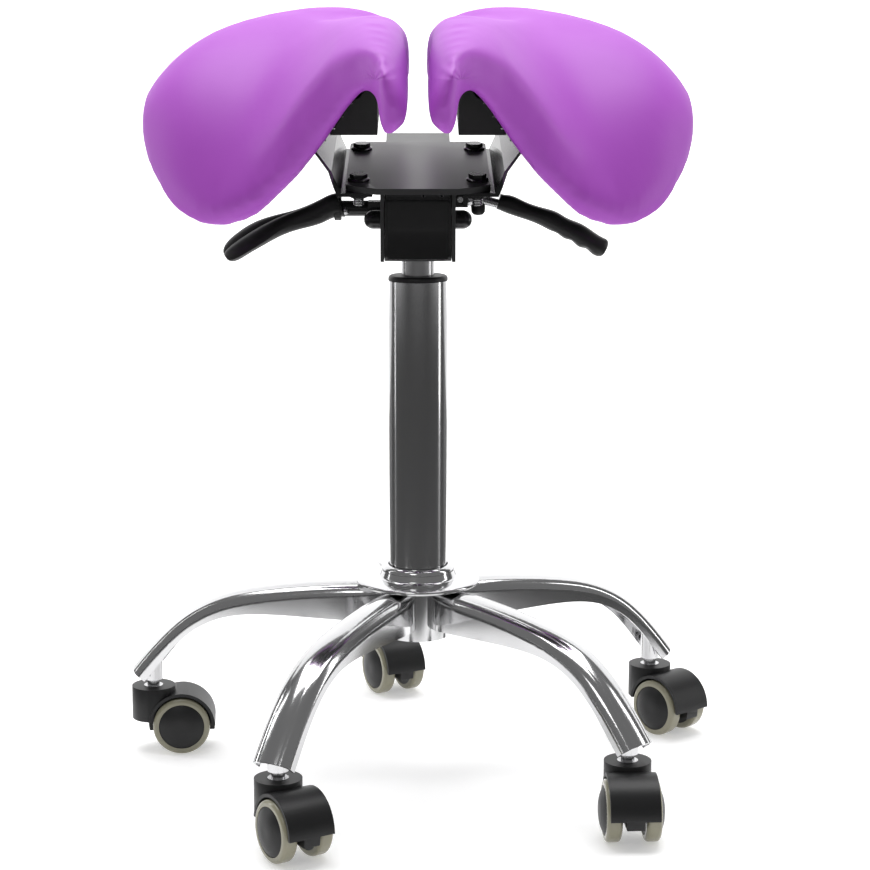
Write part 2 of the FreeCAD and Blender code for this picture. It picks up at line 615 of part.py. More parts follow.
def make_housing():
    """Welded housing: bent sheet, side walls, taper seat, bosses and lever brackets."""
    half = HOUSING_WIDTH / 2
    wall = HOUSING_WALL
    body = block(Vector(-half, HOUSING_FRONT, HOUSING_BOTTOM), Vector(half, HOUSING_BACK, HOUSING_TOP))
    bottom_edges = [edge for edge in body.Edges
                    if edge.BoundBox.ZMax < HOUSING_BOTTOM + 0.1 and edge.BoundBox.XLength > half]
    body = body.makeFillet(HOUSING_BEND_RADIUS, bottom_edges)
    room = block(Vector(-half + wall, HOUSING_FRONT + wall, HOUSING_BOTTOM + wall),
                 Vector(half - wall, HOUSING_BACK - wall, HOUSING_TOP + 1))
    room_edges = [edge for edge in room.Edges
                  if edge.BoundBox.ZMax < HOUSING_BOTTOM + wall + 0.1 and edge.BoundBox.XLength > half]
    body = body.cut(room.makeFillet(HOUSING_BEND_RADIUS - wall, room_edges))
    body = body.fuse(cylinder(TAPER_SEAT_DIAMETER / 2, TAPER_LENGTH, Vector(0, 0, HOUSING_BOTTOM)))
    for side in (-1, 1):
        start = min(side * PIVOT_INNER_END, side * (half - wall))
        boss = cylinder(PIVOT_BOSS_DIAMETER / 2, half - wall - PIVOT_INNER_END,
                        Vector(start, 0, PIVOT_HEIGHT), ACROSS)
        body = body.fuse(boss)
    height_window = HEIGHT_LEVER_TUBE_DIAMETER / 2 + WINDOW_MARGIN
    tilt_window = TILT_ROD_DIAMETER / 2 + WINDOW_MARGIN
    body = body.cut(block(Vector(-half - 1, LEVER_LINE - height_window, HEIGHT_LEVER_AXIS_HEIGHT - height_window),
                          Vector(-half + wall + 1, LEVER_LINE + height_window,
                                 HEIGHT_LEVER_AXIS_HEIGHT + height_window)))
    body = body.cut(block(Vector(half - wall - 1, LEVER_LINE - tilt_window, TILT_LEVER_HEIGHT - tilt_window),
                          Vector(half + 1, LEVER_LINE + tilt_window, TILT_LEVER_HEIGHT + tilt_window)))
    for side, height in ((-1, HEIGHT_LEVER_AXIS_HEIGHT), (1, TILT_LEVER_HEIGHT)):
        for tab in lever_bracket(side, height):
            body = body.fuse(tab)
        start, length = lever_pin_line(side, height)
        body = body.cut(cylinder(LEVER_PIN_DIAMETER / 2 + RUNNING_FIT, length + 2,
                                 start.sub(Vector(0, 1, 0)), BACK))
    body = body.cut(cylinder_cone(0))
    body = body.cut(cylinder(CYLINDER_RADIUS, TAPER_BOTTOM_HEIGHT - HOUSING_BOTTOM + 1,
                             Vector(0, 0, HOUSING_BOTTOM - 1)))
    for side in (-1, 1):
        start = min(side * PIVOT_INNER_END, side * half)
        body = body.cut(cylinder(PIVOT_DIAMETER / 2, half - PIVOT_INNER_END,
                                 Vector(start, 0, PIVOT_HEIGHT), ACROSS))
    return body.removeSplitter()


def make_pivot_bolt(side):
    """Pivot bolt through one ear, with a domed head."""
    head_start = EAR_OUTER + PART_GAP
    shank = cylinder(PIVOT_DIAMETER / 2, head_start - PIVOT_INNER_END,
                     Vector(PIVOT_INNER_END, 0, PIVOT_HEIGHT), ACROSS)
    radius = PIVOT_HEAD_DIAMETER / 2
    straight = PIVOT_HEAD_LENGTH - radius
    head = cylinder(radius, straight, Vector(head_start, 0, PIVOT_HEIGHT), ACROSS)
    dome = Part.makeSphere(radius, Vector(head_start + straight, 0, PIVOT_HEIGHT), ACROSS, 0, 90, 360)
    bolt = shank.fuse(head).fuse(dome)
    return bolt if side > 0 else mirror_side(bolt)


def bolt_slot(centre_x, centre_y, low, high):
    """Slotted hole that lets a seat half move sideways, as a solid to cut."""
    radius = BOLT_DIAMETER / 2 + SLOT_CLEARANCE
    half = SEAT_SPREAD_TRAVEL
    start = Vector(centre_x - half, centre_y, low)
    end = Vector(centre_x + half, centre_y, low)
    slot = cylinder(radius, high - low, start).fuse(cylinder(radius, high - low, end))
    return slot.fuse(block(Vector(start.x, centre_y - radius, low), Vector(end.x, centre_y + radius, high)))


def bolt_places():
    """Places of the four plate bolts, in the level frame of the plate."""
    half = BOLT_ROW_SPACING / 2
    return [(side * BOLT_SPACING / 2, BOLT_ROW_CENTRE + row * half) for side in (-1, 1) for row in (-1, 1)]


def make_top_plate():
    """Plate that carries the seat, with the two ears that hang on the pivot bolts."""
    top = PIVOT_HEIGHT + PLATE_TOP_OVER_PIVOT
    low = top - PLATE_THICKNESS
    half = PLATE_WIDTH / 2
    nose = PLATE_NOSE_WIDTH / 2
    tongue = PLATE_TONGUE_WIDTH / 2
    corner = PLATE_CHAMFER
    right = [(nose, PLATE_FRONT), (half - corner, PLATE_FRONT + corner), (half, PLATE_FRONT + 2 * corner),
             (half, PLATE_BACK - corner), (half - corner, PLATE_BACK), (tongue, PLATE_BACK),
             (tongue, PLATE_BACK + PLATE_TONGUE_LENGTH)]
    points = right + [(-x, y) for x, y in reversed(right)]
    corners = [Vector(x, y, low) for x, y in points]
    spans = [(corners[i], corners[(i + 1) % len(corners)]) for i in range(len(corners))]
    plate = Part.Face(outline(spans)).extrude(Vector(0, 0, PLATE_THICKNESS))
    for x, y in bolt_places():
        plate = plate.cut(bolt_slot(x, y, low - 1, top + 1))
    plate = tilted(plate)
    under_plate = block(Vector(-PLATE_WIDTH, PLATE_FRONT, low + 1), Vector(PLATE_WIDTH, PLATE_BACK, 2 * top))
    for side in (-1, 1):
        near = min(side * EAR_INNER, side * EAR_OUTER)
        far = max(side * EAR_INNER, side * EAR_OUTER)
        ear = block(Vector(near, HOUSING_FRONT, HOUSING_BOTTOM), Vector(far, EAR_BACK, top + PLATE_THICKNESS))
        ear = ear.cut(tilted(under_plate))
        ear = ear.cut(cylinder(PIVOT_DIAMETER / 2 + RUNNING_FIT, EAR_THICKNESS + 2,
                               Vector(near - 1, 0, PIVOT_HEIGHT), ACROSS))
        plate = plate.fuse(ear)
    return plate.removeSplitter()


def oval_section(side, place, height, thickness, width, lean, roll):
    """Rounded section of a lever's grip, square to its run."""
    angle = math.radians(lean)
    run = Vector(side * math.cos(angle), 0, -math.sin(angle))
    turn = FreeCAD.Rotation(run, side * roll)
    up = turn.multVec(Vector(side * math.sin(angle), 0, math.cos(angle))).multiply(thickness / 2)
    out = turn.multVec(Vector(0, width / 2, 0))
    centre = Vector(side * place, LEVER_LINE, height)

    def at(across, above):
        return centre.add(Vector(out).multiply(across)).add(Vector(up).multiply(above))

    corners = [(-1, 0), (0, 1), (1, 0), (0, -1)]
    middles = [(-0.82, 0.72), (0.82, 0.72), (0.82, -0.72), (-0.82, -0.72)]
    spans = []
    for index, middle in enumerate(middles):
        start = corners[index]
        end = corners[(index + 1) % 4]
        spans.append((at(*start), at(*middle), at(*end)))
    return outline(spans)


def make_grip(side, stations, heights, thicknesses, widths, rolls):
    """Plastic grip lofted along a lever."""
    sections = []
    last = len(stations) - 1
    for index in range(len(stations)):
        before = max(index - 1, 0)
        after = min(index + 1, last)
        fall = (heights[before] - heights[after]) / (stations[after] - stations[before])
        lean = math.degrees(math.atan(fall))
        sections.append(oval_section(side, stations[index], heights[index],
                                     thicknesses[index], widths[index], lean, rolls[index]))
    return Part.makeLoft(sections, True, False)


def make_height_lever_rod():
    """Tube of the height lever with its cross pin and the tab over the release pin."""
    radius = HEIGHT_LEVER_TUBE_DIAMETER / 2
    height = HEIGHT_LEVER_AXIS_HEIGHT
    tube = cylinder(radius, LEVER_TUBE_OUTER_END - LEVER_TUBE_INNER_END,
                    Vector(-LEVER_TUBE_OUTER_END, LEVER_LINE, height), ACROSS)
    tab_low = RELEASE_PIN_TOP + SLIDING_GAP
    tab = block(Vector(-LEVER_TUBE_INNER_END - 4, LEVER_LINE + radius - LEVER_TAB_WIDTH, tab_low),
                Vector(LEVER_TAB_REACH, LEVER_LINE + radius, tab_low + LEVER_TAB_THICKNESS))
    start, length = lever_pin_line(-1, height)
    pin = cylinder(LEVER_PIN_DIAMETER / 2, length, start, BACK)
    return tube.fuse(tab).fuse(pin).removeSplitter()


def make_height_lever_paddle():
    """Black paddle pushed over the tube of the height lever."""
    grip = make_grip(-1, PADDLE_STATIONS, PADDLE_HEIGHTS, PADDLE_THICKNESSES, PADDLE_WIDTHS, PADDLE_ROLLS)
    bore = cylinder(HEIGHT_LEVER_TUBE_DIAMETER / 2, LEVER_TUBE_OUTER_END,
                    Vector(-LEVER_TUBE_OUTER_END, LEVER_LINE, HEIGHT_LEVER_AXIS_HEIGHT), ACROSS)
    return largest_solid(grip.cut(bore))


def make_tilt_lever_rod():
    """Bright rod of the tilt lever: a straight run, a bend and the end in the grip."""
    radius = TILT_ROD_DIAMETER / 2
    start = Vector(TILT_ROD_INNER_END, LEVER_LINE, TILT_LEVER_HEIGHT)
    bend = Vector(TILT_ROD_BEND, LEVER_LINE, TILT_LEVER_HEIGHT)
    end = Vector(TILT_ROD_OUTER_END, LEVER_LINE, TILT_LEVER_HEIGHT - TILT_ROD_DROP)
    run = end.sub(bend)
    straight = cylinder(radius, bend.x - start.x, start, ACROSS)
    knee = Part.makeSphere(radius, bend)
    outer = cylinder(radius, run.Length, bend, run)
    pin_start, length = lever_pin_line(1, TILT_LEVER_HEIGHT)
    pin = cylinder(LEVER_PIN_DIAMETER / 2, length, pin_start, BACK)
    return straight.fuse(knee).fuse(outer).fuse(pin).removeSplitter()


def make_tilt_lever_grip(rod):
    """Black grip of the tilt lever, with finger notches in its underside."""
    grip = make_grip(1, GRIP_STATIONS, GRIP_HEIGHTS, GRIP_THICKNESSES, GRIP_WIDTHS, GRIP_ROLLS)
    return largest_solid(grip.cut(rod))


def seat_station(index):
    """Corner points of one cushion section: top line and underside, front to back."""
    front = Vector(0, FRONT_EDGE_PLACES[index], FRONT_EDGE_HEIGHTS[index])
    crown = Vector(0, CROWN_PLACES[index], CROWN_HEIGHTS[index])
    back = Vector(0, BACK_EDGE_PLACES[index], CROWN_HEIGHTS[index] - BACK_EDGE_DROPS[index])
    chord = crown.sub(front)
    middle = front.add(Vector(chord).multiply(0.5))
    middle = middle.add(Vector(0, -chord.z, chord.y).normalize().multiply(chord.Length * 0.07 - SADDLE_SAGS[index]))
    shoulder = crown.add(Vector(back.sub(crown)).multiply(0.55)).add(Vector(0, 0, BACK_EDGE_DROPS[index] * 0.25))
    top = [front, middle, crown, shoulder, back]
    thickness = CUSHION_THICKNESSES[index]
    under = []
    for place, point in enumerate(top):
        before = top[max(place - 1, 0)]
        after = top[min(place + 1, len(top) - 1)]
        run = after.sub(before)
        inward = Vector(0, run.z, -run.y).normalize()
        under.append(point.add(inward.multiply(thickness)))
    under[0] = Vector(0, RIM_PLACES[index], RIM_HEIGHTS[index])
    under[3] = under[2].add(under[4]).multiply(0.5).add(Vector(0, 0, UNDERSIDE_BOW))
    return top, under


def bowed(start, end, outward):
    """Point halfway between two section points, pushed out square to their run."""
    run = end.sub(start)
    push = Vector(0, -run.z, run.y).normalize().multiply(outward)
    return start.add(end).multiply(0.5).add(push)


def seat_corners(index):
    """Corners of one straight-sided cushion section, over the top and back beneath."""
    top, under = seat_station(index)
    back_bulge = bowed(top[4], under[4], EDGE_BULGE)
    front_bulge = bowed(under[0], top[0], EDGE_BULGE)
    ring_points = top + [back_bulge] + list(reversed(under)) + [front_bulge]
    return [point.add(Vector(SEAT_STATIONS[index], 0, 0)) for point in ring_points]


def triangle(a, b, c):
    """Flat three-cornered face."""
    return Part.Face(Part.makePolygon([a, b, c, a]))


def make_cushion():
    """Right cushion as a plain flat-faced solid: draped outward and down to the thigh wing."""
    rings = [seat_corners(index) for index in range(len(SEAT_STATIONS))]
    faces = []
    for near, far in zip(rings[:-1], rings[1:]):
        for i in range(len(near)):
            following = (i + 1) % len(near)
            faces.append(triangle(near[i], near[following], far[following]))
            faces.append(triangle(near[i], far[following], far[i]))
    for end in (rings[0], rings[-1]):
        faces.append(Part.Face(Part.makePolygon(end + end[:1])))
    return Part.makeSolid(Part.makeShell(faces))


def below_cushion(solid, cushion):
    """The part of a solid that lies under the cushion, a small gap away from it."""
    for drop in (0.0, PART_GAP):
        room = cushion.copy()
        room.translate(Vector(0, 0, -drop))
        solid = solid.cut(room)
    return min(solid.Solids, key=lambda piece: piece.CenterOfMass.z)


def make_pan(cushion):
    """Right seat board: flat underneath, and cut to the cushion on top."""
    low = PIVOT_HEIGHT + BOARD_BOTTOM_OVER_PIVOT
    board = block(Vector(BOARD_INNER_EDGE, BOARD_FRONT, low),
                  Vector(BOARD_OUTER_EDGE, BOARD_BACK, low + BOARD_DEPTH))
    return below_cushion(tilted(board), cushion)


def make_seat_bracket(pan, cushion):
    """Right bracket: flange under the plate and flared wing up to the pan."""
    low = PIVOT_HEIGHT + PLATE_UNDERSIDE - BRACKET_THICKNESS
    top = low + BRACKET_THICKNESS
    knee = PIVOT_HEIGHT + WING_KNEE_OVER_PIVOT
    tip = PIVOT_HEIGHT + WING_TIP_OVER_PIVOT
    section = outline(radial([(FLANGE_INNER_EDGE, low), (BRACKET_BEND, low), (WING_KNEE, knee), (WING_TIP, tip),
                              (WING_TIP - BRACKET_THICKNESS, tip),
                              (WING_KNEE - BRACKET_THICKNESS, knee + BRACKET_THICKNESS / 2),
                              (BRACKET_BEND - BRACKET_THICKNESS, top + 1), (BRACKET_BEND - BRACKET_THICKNESS, top),
                              (FLANGE_INNER_EDGE, top)]))
    bracket = Part.Face(section).extrude(Vector(0, BRACKET_BACK - BRACKET_FRONT, 0))
    bracket.translate(Vector(0, BRACKET_FRONT, 0))
    for x, y in bolt_places():
        if x > 0:
            bracket = bracket.cut(cylinder(BOLT_DIAMETER / 2, BRACKET_THICKNESS + 2, Vector(x, y, low - 1)))
    front = BRACKET_FRONT - 1
    corners = [Vector(WING_TRIM_START, front, low), Vector(WING_TIP + 1, front, low),
               Vector(WING_TIP + 1, front + WING_TRIM_BACK, low), Vector(WING_TRIM_START, front, low)]
    bracket = bracket.cut(Part.Face(Part.makePolygon(corners)).extrude(Vector(0, 0, tip)))
    return below_cushion(tilted(bracket).cut(pan), cushion)


def hexagon_prism(width, height, base):
    """Hexagonal bolt head or nut across its flats, standing on base."""
    radius = width / 2 / math.cos(math.radians(30))
    corners = [base.add(Vector(radius * math.cos(math.radians(60 * i)), radius * math.sin(math.radians(60 * i)), 0))
               for i in range(6)]
    face = Part.Face(Part.makePolygon(corners + corners[:1]))
    return face.extrude(Vector(0, 0, height))


def make_plate_bolts():
    """Right-hand bolts, with their heads on the plate and nuts under the flange."""
    top = PIVOT_HEIGHT + PLATE_TOP_OVER_PIVOT
    flange = PIVOT_HEIGHT + PLATE_UNDERSIDE - BRACKET_THICKNESS
    bolts = []
    for x, y in bolt_places():
        if x < 0:
            continue
        end = flange - BOLT_END_LENGTH
        shank = cylinder(BOLT_DIAMETER / 2, top + BOLT_HEAD_HEIGHT - end, Vector(x, y, end))
        head = hexagon_prism(BOLT_HEAD_WIDTH, BOLT_HEAD_HEIGHT, Vector(x, y, top + RUNNING_FIT))
        bolts.append(tilted(shank.fuse(head).removeSplitter()))
        nut = hexagon_prism(BOLT_HEAD_WIDTH, BOLT_NUT_HEIGHT, Vector(x, y, flange - BOLT_NUT_HEIGHT))
        nut = nut.cut(cylinder(BOLT_DIAMETER / 2, BOLT_NUT_HEIGHT + 2, Vector(x, y, flange - BOLT_NUT_HEIGHT - 1)))
        bolts.append(tilted(nut))
    return Part.makeCompound(bolts)


def save(name, shape):
    """Write one sub-part and print its volume as a check."""
    shape.exportStep("parts/" + name + ".step")
    print(name, "solids", len(shape.Solids), "valid", shape.isValid(), "volume", round(shape.Volume, 1))


def build_casters():
    """Write the five casters: hood, axle, cores and treads of each."""
    hood = make_hood()
    axle = make_axle()
    for index in range(len(TRAIL_ANGLES)):
        number = str(index + 1)
        save("caster_hood_" + number, place_caster(hood, index))
        save("caster_axle_" + number, place_caster(axle, index))
        for letter, side in (("a", -1), ("b", 1)):
            save("wheel_core_" + number + letter, place_caster(make_wheel_core(side), index))
            save("wheel_tread_" + number + letter, place_caster(make_tread(side), index))


def build_base():
    """Write the welded base, the caster sockets and stems, and the hub cap."""
    leg = make_leg()
    socket = make_socket(leg)
    stem = make_stem()
    count = len(TRAIL_ANGLES)
    for index in range(count):
        save("leg_" + str(index + 1), turn_about_column(leg, leg_angle(index)))
    save("caster_sockets", Part.makeCompound([turn_about_column(socket, leg_angle(i)) for i in range(count)]))
    save("caster_stems", Part.makeCompound([place_caster(stem, i) for i in range(count)]))
    save("hub_barrel", make_hub_barrel())
    save("hub_cap", make_hub_cap())


def build_column():
    """Write the column and the gas lift in it."""
    save("column_tube", make_column_tube())
    save("column_bush", make_column_bush())
    save("gas_cylinder", make_gas_cylinder())
    save("release_pin", make_release_pin())
    save("piston_rod", make_piston_rod())
    save("rod_fittings", make_rod_fittings())


def build_mechanism():
    """Write the tilting mechanism and its two levers."""
    save("mechanism_housing", make_housing())
    save("pivot_bolts", Part.makeCompound([make_pivot_bolt(side) for side in (-1, 1)]))
    save("top_plate", make_top_plate())
    save("height_lever_rod", make_height_lever_rod())
    save("height_lever_paddle", make_height_lever_paddle())
    rod = make_tilt_lever_rod()
    save("tilt_lever_rod", rod)
    save("tilt_lever_grip", make_tilt_lever_grip(rod))


def build_seat():
    """Write the two seat halves; the left one mirrors the right one."""
    cushion = make_cushion()
    pan = make_pan(cushion)
    pieces = {"cushion": cushion, "seat_pan": pan,
              "seat_bracket": make_seat_bracket(pan, cushion), "bracket_bolts": make_plate_bolts()}
    for name, piece in pieces.items():
        save(name + "_right", piece)
        save(name + "_left", mirror_side(piece))


os.makedirs("parts", exist_ok=True)
build_casters()
build_base()
build_column()
build_mechanism()
build_seat()
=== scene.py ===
import json
import logging
import math
from dataclasses import dataclass
from enum import Enum

import bmesh
import bpy
from mathutils import Matrix, Vector
from mathutils.kdtree import KDTree


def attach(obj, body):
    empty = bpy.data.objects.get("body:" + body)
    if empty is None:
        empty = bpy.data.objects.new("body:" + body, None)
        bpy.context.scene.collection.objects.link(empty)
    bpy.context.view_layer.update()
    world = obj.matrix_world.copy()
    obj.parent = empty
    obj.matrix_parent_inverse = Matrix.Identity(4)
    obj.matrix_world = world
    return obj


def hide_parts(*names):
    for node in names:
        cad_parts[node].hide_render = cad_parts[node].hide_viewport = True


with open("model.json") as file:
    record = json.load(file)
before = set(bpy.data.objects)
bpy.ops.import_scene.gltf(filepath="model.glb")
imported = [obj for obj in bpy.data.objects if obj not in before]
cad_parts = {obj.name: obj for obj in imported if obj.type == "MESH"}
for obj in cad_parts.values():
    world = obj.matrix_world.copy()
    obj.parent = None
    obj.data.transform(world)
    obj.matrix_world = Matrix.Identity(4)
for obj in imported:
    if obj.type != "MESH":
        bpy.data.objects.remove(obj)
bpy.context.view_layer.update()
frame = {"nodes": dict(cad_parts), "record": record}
log = logging.getLogger("saddle_stool")

CASTER_NUMBERS = ("1", "2", "3", "4", "5")
WHEEL_LETTERS = ("a", "b")
SIDES = {"left": -1.0, "right": 1.0}
MM = 0.001
ON_AXIS = 1e-7
SAME_POINT = 0.00002
FLAT_WITHIN = math.radians(1.0)

Place = tuple[float, float, float]


class Grain(Enum):
    """Kind of fine relief that a finish carries."""

    LEATHER = "leather"
    MOULDED = "moulded"
    POWDER = "powder"
    GROUND = "ground"
    PLATED = "plated"
    RUBBER = "rubber"


class ShaderGroups:
    """Node groups that several finishes share, each built once."""

    def __init__(self) -> None:
        """Start with no group built."""
        self._made: dict[str, bpy.types.NodeTree] = {}

    def _begin(self, name: str, inputs: list[tuple[str, str, object]],
               outputs: list[tuple[str, str]]) -> tuple[bpy.types.NodeTree, bpy.types.Node, bpy.types.Node]:
        """Make an empty shader group with its sockets.

        Args:
            name: Name of the group.
            inputs: Name, socket type and default value of each input.
            outputs: Name and socket type of each output.

        Returns:
            The tree, its input node and its output node.
        """
        tree = bpy.data.node_groups.new(name, "ShaderNodeTree")
        for label, kind, value in inputs:
            socket = tree.interface.new_socket(name=label, in_out="INPUT", socket_type=kind)
            if value is not None:
                socket.default_value = value
        for label, kind in outputs:
            tree.interface.new_socket(name=label, in_out="OUTPUT", socket_type=kind)
        return tree, tree.nodes.new("NodeGroupInput"), tree.nodes.new("NodeGroupOutput")

    def tone(self) -> bpy.types.NodeTree:
        """Soft patches between two colours, with a matching change of roughness.

        Returns:
            The group, with outputs Colour and Roughness.
        """
        if "tone" in self._made:
            return self._made["tone"]
        tree, start, end = self._begin(
            "tone_patches",
            [("Vector", "NodeSocketVector", None), ("Colour A", "NodeSocketColor", (1, 1, 1, 1)),
             ("Colour B", "NodeSocketColor", (0, 0, 0, 1)), ("Scale", "NodeSocketFloat", 8.0),
             ("Roughness", "NodeSocketFloat", 0.5), ("Spread", "NodeSocketFloat", 0.05)],
            [("Colour", "NodeSocketColor"), ("Roughness", "NodeSocketFloat")])
        noise = tree.nodes.new("ShaderNodeTexNoise")
        noise.inputs["Detail"].default_value = 4.0
        spread = tree.nodes.new("ShaderNodeMapRange")
        spread.inputs["From Min"].default_value = 0.3
        spread.inputs["From Max"].default_value = 0.7
        mix = tree.nodes.new("ShaderNodeMix")
        mix.data_type = "RGBA"
        scaled = tree.nodes.new("ShaderNodeMath")
        scaled.operation = "MULTIPLY"
        total = tree.nodes.new("ShaderNodeMath")
        total.operation = "ADD"
        link = tree.links.new
        link(start.outputs["Vector"], noise.inputs["Vector"])
        link(start.outputs["Scale"], noise.inputs["Scale"])
        link(noise.outputs["Fac"], spread.inputs["Value"])
        link(spread.outputs["Result"], mix.inputs["Factor"])
        link(start.outputs["Colour A"], mix.inputs[6])
        link(start.outputs["Colour B"], mix.inputs[7])
        link(spread.outputs["Result"], scaled.inputs[0])
        link(start.outputs["Spread"], scaled.inputs[1])
        link(scaled.outputs[0], total.inputs[0])
        link(start.outputs["Roughness"], total.inputs[1])
        link(mix.outputs[2], end.inputs["Colour"])
        link(total.outputs[0], end.inputs["Roughness"])
        self._made["tone"] = tree
        return tree

    def pebble(self) -> bpy.types.NodeTree:
        """Small rounded cells with creases between them, as on coated upholstery.

        Returns:
            The group, with output Height.
        """
        if "pebble" in self._made:
            return self._made["pebble"]
        tree, start, end = self._begin(
            "pebble_grain", [("Vector", "NodeSocketVector", None), ("Scale", "NodeSocketFloat", 400.0)],
            [("Height", "NodeSocketFloat")])
        cells = tree.nodes.new("ShaderNodeTexVoronoi")
        cells.feature = "SMOOTH_F1"
        cells.inputs["Smoothness"].default_value = 0.6
        fine = tree.nodes.new("ShaderNodeTexNoise")
        fine.inputs["Detail"].default_value = 6.0
        blend = tree.nodes.new("ShaderNodeMath")
        blend.operation = "ADD"
        link = tree.links.new
        for node in (cells, fine):
            link(start.outputs["Vector"], node.inputs["Vector"])
            link(start.outputs["Scale"], node.inputs["Scale"])
        link(cells.outputs["Distance"], blend.inputs[0])
        link(fine.outputs["Fac"], blend.inputs[1])
        link(blend.outputs[0], end.inputs["Height"])
        self._made["pebble"] = tree
        return tree

    def stretched(self) -> bpy.types.NodeTree:
        """Noise drawn out along one direction, for ground steel and tool marks.

        Returns:
            The group, with output Height.
        """
        if "stretched" in self._made:
            return self._made["stretched"]
        tree, start, end = self._begin(
            "drawn_out_noise",
            [("Vector", "NodeSocketVector", None), ("Stretch", "NodeSocketVector", (1, 1, 1)),
             ("Scale", "NodeSocketFloat", 200.0)],
            [("Height", "NodeSocketFloat")])
        stretch = tree.nodes.new("ShaderNodeVectorMath")
        stretch.operation = "MULTIPLY"
        noise = tree.nodes.new("ShaderNodeTexNoise")
        noise.inputs["Detail"].default_value = 5.0
        link = tree.links.new
        link(start.outputs["Vector"], stretch.inputs[0])
        link(start.outputs["Stretch"], stretch.inputs[1])
        link(stretch.outputs[0], noise.inputs["Vector"])
        link(start.outputs["Scale"], noise.inputs["Scale"])
        link(noise.outputs["Fac"], end.inputs["Height"])
        self._made["stretched"] = tree
        return tree

    def gathers(self) -> bpy.types.NodeTree:
        """Short pleats that fan out from a point where the cover is drawn together.

        Returns:
            The group, with output Height; it is mirrored about the middle plane.
        """
        if "gathers" in self._made:
            return self._made["gathers"]
        tree, start, end = self._begin(
            "fanned_gathers",
            [("Vector", "NodeSocketVector", None), ("Centre", "NodeSocketVector", (0, 0, 0)),
             ("Reach", "NodeSocketFloat", 0.02), ("Count", "NodeSocketFloat", 9.0)],
            [("Height", "NodeSocketFloat")])
        link = tree.links.new

        def maths(operation: str, first: object, second: object = None) -> bpy.types.NodeSocket:
            """Output of a new maths node, fed by sockets or plain values."""
            node = tree.nodes.new("ShaderNodeMath")
            node.operation = operation
            for place, value in enumerate((first, second)):
                if isinstance(value, bpy.types.NodeSocket):
                    link(value, node.inputs[place])
                elif value is not None:
                    node.inputs[place].default_value = value
            return node.outputs[0]

        split = tree.nodes.new("ShaderNodeSeparateXYZ")
        centre = tree.nodes.new("ShaderNodeSeparateXYZ")
        link(start.outputs["Vector"], split.inputs[0])
        link(start.outputs["Centre"], centre.inputs[0])
        across = maths("SUBTRACT", maths("ABSOLUTE", split.outputs["X"]), centre.outputs["X"])
        along = maths("SUBTRACT", split.outputs["Y"], centre.outputs["Y"])
        above = maths("SUBTRACT", split.outputs["Z"], centre.outputs["Z"])
        fan = maths("ARCTAN2", across, above)
        wave = maths("SINE", maths("MULTIPLY", fan, start.outputs["Count"]))
        away = maths("SQRT", maths("ADD", maths("MULTIPLY", across, across), maths("MULTIPLY", above, above)))
        near = maths("SUBTRACT", 1.0, maths("DIVIDE", away, start.outputs["Reach"]))
        depth_reach = maths("MULTIPLY", start.outputs["Reach"], 2.0)
        at_front = maths("SUBTRACT", 1.0, maths("DIVIDE", maths("ABSOLUTE", along), depth_reach))
        mask = maths("MULTIPLY", maths("MAXIMUM", near, 0.0), maths("MAXIMUM", at_front, 0.0))
        upward = maths("GREATER_THAN", above, 0.001)
        link(maths("MULTIPLY", maths("MULTIPLY", wave, mask), upward), end.inputs["Height"])
        self._made["gathers"] = tree
        return tree


GROUPS = ShaderGroups()


@dataclass(frozen=True)
class Finish:
    """Surface finish of some of the stool's pieces."""

    name: str
    slot: str
    colour: tuple[float, float, float]
    shade: tuple[float, float, float]
    roughness: float
    grain: Grain
    metallic: float = 0.0
    spread: float = 0.04
    patch_scale: float = 9.0
    grain_scale: float = 400.0
    grain_depth: float = 0.0002
    grain_strength: float = 0.3
    stretch: tuple[float, float, float] = (1.0, 1.0, 1.0)
    coat: float = 0.0
    coat_roughness: float = 0.1
    sheen: float = 0.0
    specular: float = 0.5

    def extras(self, tree: bpy.types.NodeTree) -> None:
        """Add what one finish alone has; a plain finish adds nothing."""

    def material(self) -> bpy.types.Material:
        """The Blender material of this finish, made on first use.

        Returns:
            The material.
        """
        found = bpy.data.materials.get(self.name)
        if found:
            return found
        made = bpy.data.materials.new(self.name)
        made.use_nodes = True
        tree = made.node_tree
        shader = tree.nodes["Principled BSDF"]
        place = tree.nodes.new("ShaderNodeTexCoord")
        tone = tree.nodes.new("ShaderNodeGroup")
        tone.node_tree = GROUPS.tone()
        tone.inputs["Colour A"].default_value = (*self.colour, 1.0)
        tone.inputs["Colour B"].default_value = (*self.shade, 1.0)
        tone.inputs["Scale"].default_value = self.patch_scale
        tone.inputs["Roughness"].default_value = self.roughness
        tone.inputs["Spread"].default_value = self.spread
        relief = tree.nodes.new("ShaderNodeGroup")
        drawn = self.grain in (Grain.GROUND, Grain.PLATED)
        relief.node_tree = GROUPS.stretched() if drawn else GROUPS.pebble()
        relief.inputs["Scale"].default_value = self.grain_scale
        if drawn:
            relief.inputs["Stretch"].default_value = self.stretch
        bump = tree.nodes.new("ShaderNodeBump")
        bump.inputs["Distance"].default_value = self.grain_depth
        bump.inputs["Strength"].default_value = self.grain_strength
        link = tree.links.new
        link(place.outputs["Object"], tone.inputs["Vector"])
        link(place.outputs["Object"], relief.inputs["Vector"])
        link(tone.outputs["Colour"], shader.inputs["Base Color"])
        link(tone.outputs["Roughness"], shader.inputs["Roughness"])
        link(relief.outputs["Height"], bump.inputs["Height"])
        link(bump.outputs["Normal"], shader.inputs["Normal"])
        shader.inputs["Metallic"].default_value = self.metallic
        shader.inputs["Coat Weight"].default_value = self.coat
        shader.inputs["Coat Roughness"].default_value = self.coat_roughness
        shader.inputs["Sheen Weight"].default_value = self.sheen
        shader.inputs["Specular IOR Level"].default_value = self.specular
        self.extras(tree)
        return made


